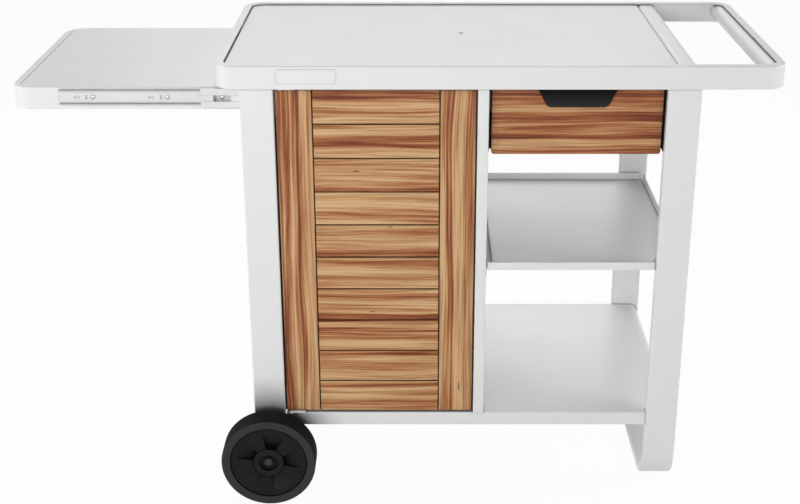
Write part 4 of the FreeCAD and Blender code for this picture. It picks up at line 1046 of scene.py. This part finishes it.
@dataclass
class Drawer(Assembly):
    """The drawer with its acacia front, folded pull and side slides."""

    bottom: float = 684.0 * MM
    top: float = 805.0 * MM
    # The board that the front is cut from reaches past it, so that no joint shows
    board_below: float = 10.0 * MM
    board_spare: float = 40.0 * MM
    # The front's heartwood, from its lower edge
    bands: Shares = (
        (0.06, 0.01, 0.74), (0.26, 0.03, 0.82), (0.38, 0.04, 0.60), (0.54, 0.07, 0.90),
        (0.90, 0.015, 0.66), (0.98, 0.02, 0.80),
    )

    def build(self) -> None:
        """Dress the drawer."""
        height = self.top - self.bottom
        front = Acacia(
            "Oiled_acacia_front", Grain.LEVEL, self.bottom - self.board_below,
            height + self.board_spare, seed=31.0, low=self.bottom, high=self.top,
            boards=(Board(self.bottom, height, self.bands),), sapwood=0.53,
        ).make()
        self.dress(front, "drawer_front")
        self.dress(self.finishes.pull, "drawer_pull")
        black = ["drawer_box"]
        for side in ("left", "right"):
            black.append(f"drawer_support_{side}")
            for member in ("outer", "middle", "inner"):
                black.append(f"drawer_slide_{member}_{side}")
        self.dress(self.finishes.black, *black)
        self.dress(self.finishes.zinc, "drawer_slide_cages")


@dataclass
class Wheel(Assembly):
    """One wheel: a solid ribbed tyre on a moulded hub, with a bush, a collar and a painted shade ring."""

    side: str = "front"
    facing: float = -1.0
    radius: float = AXLE_Z
    outer_face: float = 339.0 * MM
    width: float = 46.0 * MM
    tyre_steps: int = 144
    seat_radius: float = 72.0 * MM
    base_radius: float = 66.0 * MM
    flange: float = 4.0 * MM
    shoulder: float = 1.5 * MM
    shoulder_points: int = 8
    # How far down the shoulder the darker tread rubber of painted shade reaches, as a share
    tread_shade_share: float = 0.75
    groove_count: int = 8
    groove_width: float = 1.9 * MM
    groove_depth: float = 1.2 * MM
    # A groove's floor is this share of its mouth
    groove_floor: float = 0.4
    crown: float = 0.7 * MM
    # How far the side lies back from the wheel's face, in crowns, and how far out from its lip
    side_profile: Pairs = ((1.3, 0.0), (0.6, 0.5 * MM), (0.2, 2.5 * MM), (0.0, 6.0 * MM))
    side_end: float = 2.5 * MM
    # The gap round the hub that the tyre leaves when it is pressed on
    gap_width: float = 1.8 * MM
    gap_depth: float = 3.0 * MM
    # The collar round the axle stands on the hub's face, with a thin black ring of painted shade round
    # its foot
    hub_face: float = 337.0 * MM
    collar_inner: float = 17.7 * MM
    collar_outer: float = 28.8 * MM
    collar_proud: float = 1.8 * MM
    collar_round: float = 1.6 * MM
    collar_points: int = 6
    collar_deep: float = 5.5 * MM
    collar_wall: float = 0.2 * MM
    collar_steps: int = 96
    shade_ring_outer: float = 30.6 * MM
    shade_ring_proud: float = 0.2 * MM
    shade_ring_under: float = 0.4 * MM

    def build(self) -> None:
        """Dress the wheel and turn its tyre."""
        self.dress(self.finishes.hub, f"{self.side}_wheel_hub", f"{self.side}_wheel_bush")
        form = bmesh.new()
        outline = self._tyre_outline()
        where = face_outward(AXLE_X, self.outer_face, self.radius, self.facing)
        turn_profile(form, outline + outline[:1], where, self.tyre_steps)
        bmesh.ops.remove_doubles(form, verts=form.verts, dist=WELD)
        for face in form.faces:
            middle = face.calc_center_median()
            reach = math.hypot(middle.x - AXLE_X, middle.z - self.radius)
            # Faces on the tread take the darker rubber of painted shade
            if reach > self.radius - self.tread_shade_share * self.shoulder:
                face.material_index = 1
            # Faces in the gap round the hub take the black of painted shade
            elif reach < self.seat_radius + self.gap_width + 0.1 * MM:
                face.material_index = 2
        tyre = make_piece(
            f"{self.side}_ribbed_tyre", form,
            (self.finishes.rubber, self.finishes.tread, self.finishes.shade_black),
            f"{self.side}_wheel", 30.0,
        )
        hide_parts(f"{self.side}_tyre")
        self._collar()

    def _collar(self) -> None:
        """Turn the collar and the painted shade ring round its foot."""
        form = bmesh.new()
        where = face_outward(AXLE_X, self.hub_face, self.radius, self.facing)
        bend = self.collar_round
        top = self.collar_proud - bend
        foot = -self.collar_deep
        wall = self.collar_inner + self.collar_wall
        collar = [(foot, self.collar_inner), (foot, wall), (0.0, wall), (0.0, self.collar_outer)]
        collar += arc((top, self.collar_outer - bend), bend, 90.0, 0.0, self.collar_points)
        collar += arc((top, self.collar_inner + bend), bend, 0.0, -90.0, self.collar_points)
        turn_profile(form, collar + collar[:1], where, self.collar_steps)
        collar_faces = len(form.faces)
        under = self.collar_outer - self.shade_ring_under
        proud = self.shade_ring_proud
        shade_black = [(0.0, under), (0.0, self.shade_ring_outer), (proud, self.shade_ring_outer), (proud, under)]
        turn_profile(form, shade_black + shade_black[:1], where, self.collar_steps)
        form.faces.ensure_lookup_table()
        for face in form.faces[collar_faces:]:
            face.material_index = 1
        bmesh.ops.remove_doubles(form, verts=form.verts, dist=WELD)
        make_piece(
            f"{self.side}_hub_collar", form, (self.finishes.collar, self.finishes.shade_black),
            f"{self.side}_wheel", 30.0,
        )

    def _tyre_outline(self) -> Points:
        """List the tyre's closed outline.

        Returns:
            Depths in from the wheel's outer face, as heights down the axis, and radii.
        """
        bend = self.radius - self.shoulder
        lip = self.seat_radius + self.gap_width
        half = [
            (-self.flange, self.base_radius), (-self.flange, self.seat_radius),
            (-self.gap_depth, self.seat_radius), (-self.gap_depth, lip),
        ]
        half += [(-back * self.crown, lip + out) for back, out in self.side_profile]
        half.append((-0.1 * self.crown, bend - self.side_end))
        middle = (-self.shoulder - 0.3 * self.crown, bend)
        half += arc(middle, self.shoulder, 0.0, 90.0, self.shoulder_points)
        far = [(-self.width - depth, radius) for depth, radius in reversed(half)]
        pitch = (self.width - 2.0 * self.shoulder) / (self.groove_count + 1.0)
        edge = self.groove_width / 2.0
        base = self.groove_floor * edge
        floor = self.radius - self.groove_depth
        groove = ((edge, self.radius), (base, floor), (-base, floor), (-edge, self.radius))
        tread = []
        for index in range(self.groove_count):
            start = -self.shoulder - pitch * (index + 1.0)
            tread += [(start + step, radius) for step, radius in groove]
        return half + tread + far


@dataclass
class AxleCaps(Assembly):
    """The domed caps pressed on the axle's ends."""

    face: float = 337.5 * MM
    radius: float = 7.5 * MM
    thick: float = 3.2 * MM
    rim: float = 1.2 * MM
    dome_steps: int = 8
    steps: int = 40

    def build(self) -> None:
        """Turn the two caps."""
        rise = self.thick - self.rim
        outline = [(-self.thick, 0.0), (-self.thick, self.radius), (-rise, self.radius)]
        for step in range(1, self.dome_steps):
            lean = math.radians(90.0 * step / self.dome_steps)
            outline.append((-rise * (1.0 - math.sin(lean)), self.radius * math.cos(lean)))
        outline.append((0.0, 0.0))
        form = bmesh.new()
        for facing in (-1.0, 1.0):
            turn_profile(form, outline, face_outward(AXLE_X, self.face, AXLE_Z, facing), self.steps)
        grey = (self.finishes.grey,)
        caps = make_piece("domed_axle_caps", form, grey, "cart_frame", 50.0)
        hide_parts("axle_caps")


@dataclass
class Studio:
    """The pale floor, the soft light and the camera."""

    floor_size: float = 16.0
    # The camera's place and tilt in degrees, and its lens and sensor in millimetres
    eye: Place = (0.039, -2.654, 1.466)
    tilt: float = 67.91
    lens: float = 62.64
    sensor: float = 36.0
    shift_x: float = -0.0219
    sight: float = 60.0
    # The wall behind lights the object most where it is faced square on
    wall: float = 1.12
    aim: Place = (0.0, 0.0, 0.45)
    # Name, place, side in metres and watts of each soft lamp
    lamps: tuple[tuple[str, Place, float, float], ...] = (
        ("Front_low_light", (-0.6, -4.0, 1.1), 2.4, 66.0),
        ("Left_light", (-3.4, -0.6, 1.4), 2.2, 30.0),
        ("Right_light", (3.4, -0.6, 1.4), 2.2, 50.0),
        ("Back_high_light", (0.0, 2.6, 2.8), 2.4, 31.5),
        ("Key_light", (-2.3, -2.7, 2.3), 2.2, 36.0),
    )

    def build(self) -> None:
        """Set up floor, light and camera."""
        self._floor()
        self._world()
        for lamp in self.lamps:
            self._lamp(*lamp)
        self._camera()
        bpy.context.scene.view_settings.view_transform = "Standard"

    def _floor(self) -> None:
        """Lay the floor: a flat sheet that reaches far past the object."""
        form = bmesh.new()
        bmesh.ops.create_grid(form, x_segments=2, y_segments=2, size=self.floor_size / 2.0)
        mesh = bpy.data.meshes.new("studio_floor")
        form.to_mesh(mesh)
        form.free()
        mesh.materials.append(StudioFloor("White_paper_floor").make())
        floor = bpy.data.objects.new("studio_floor", mesh)
        bpy.context.scene.collection.objects.link(floor)
        floor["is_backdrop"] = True

    def _world(self) -> None:
        """Light the object from the wall behind it, and show plain white there."""
        world = bpy.data.worlds.new("Studio_world")
        bpy.context.scene.world = world
        world.use_nodes = True
        tree = world.node_tree
        tree.nodes.clear()
        place = add_node(tree, "TexCoord")
        split = add_node(tree, "SeparateXYZ", links={0: place.outputs["Generated"]})
        facing = add_node(tree, "Math", {"operation": "MULTIPLY", 1: self.wall}, {0: split.outputs["Y"]})
        ahead = add_node(tree, "Math", {"operation": "MAXIMUM", 1: 0.0}, {0: facing})
        light = add_node(tree, "Background", {"Color": srgb("#FFFFFF")}, {"Strength": ahead})
        seen = add_node(tree, "Background", {"Color": srgb("#FFFFFF"), "Strength": 1.0})
        mixed = add_node(tree, "MixShader", links={0: seen_rays(tree), 1: light, 2: seen})
        add_node(tree, "OutputWorld", links={"Surface": mixed})

    def _lamp(self, name: str, place: Place, size: float, power: float) -> None:
        """Hang a soft square lamp that points at the middle of the cart.

        Args:
            name: The lamp's name.
            place: Where it hangs.
            size: The length of its side.
            power: Its power in watts.
        """
        data = bpy.data.lights.new(name, "AREA")
        data.shape = "SQUARE"
        data.size = size
        data.energy = power
        lamp = bpy.data.objects.new(name, data)
        lamp.location = place
        sight = Vector(self.aim) - Vector(place)
        lamp.rotation_euler = sight.to_track_quat("-Z", "Y").to_euler()
        bpy.context.scene.collection.objects.link(lamp)

    def _camera(self) -> None:
        """Stand the camera where the photograph was taken from."""
        data = bpy.data.cameras.new("Front_camera")
        data.lens = self.lens
        data.sensor_width = self.sensor
        data.shift_x = self.shift_x
        data.clip_end = self.sight
        camera = bpy.data.objects.new("Front_camera", data)
        camera.location = self.eye
        camera.rotation_euler = (math.radians(self.tilt), 0.0, 0.0)
        bpy.context.scene.collection.objects.link(camera)
        bpy.context.scene.camera = camera


def plain(value: Any) -> Any:
    """Turn a box of vectors into plain lists of numbers.

    Args:
        value: A number, or numbers nested in dictionaries, lists or vectors.

    Returns:
        The same in plain numbers.
    """
    if isinstance(value, dict):
        return {key: plain(part) for key, part in value.items()}
    if hasattr(value, "__len__"):
        return [plain(part) for part in value]
    return float(value)


def main() -> None:
    """Load the frame, dress every sub-assembly and set up the studio."""
    logging.basicConfig(level=logging.INFO, format="%(name)s: %(message)s")
    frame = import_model()
    cad_box = plain(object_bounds())
    nodes = frame["nodes"]
    finishes = Finishes()
    for assembly in (Top, SideShelf, LegFrame, Cupboard, Door, Drawer):
        assembly(nodes, finishes).build()
    Wheel(nodes, finishes, side="front", facing=-1.0).build()
    Wheel(nodes, finishes, side="rear", facing=1.0).build()
    AxleCaps(nodes, finishes).build()
    Studio().build()
    {"cad": cad_box, "visual": plain(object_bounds())}


if __name__ == "__main__":
    main()
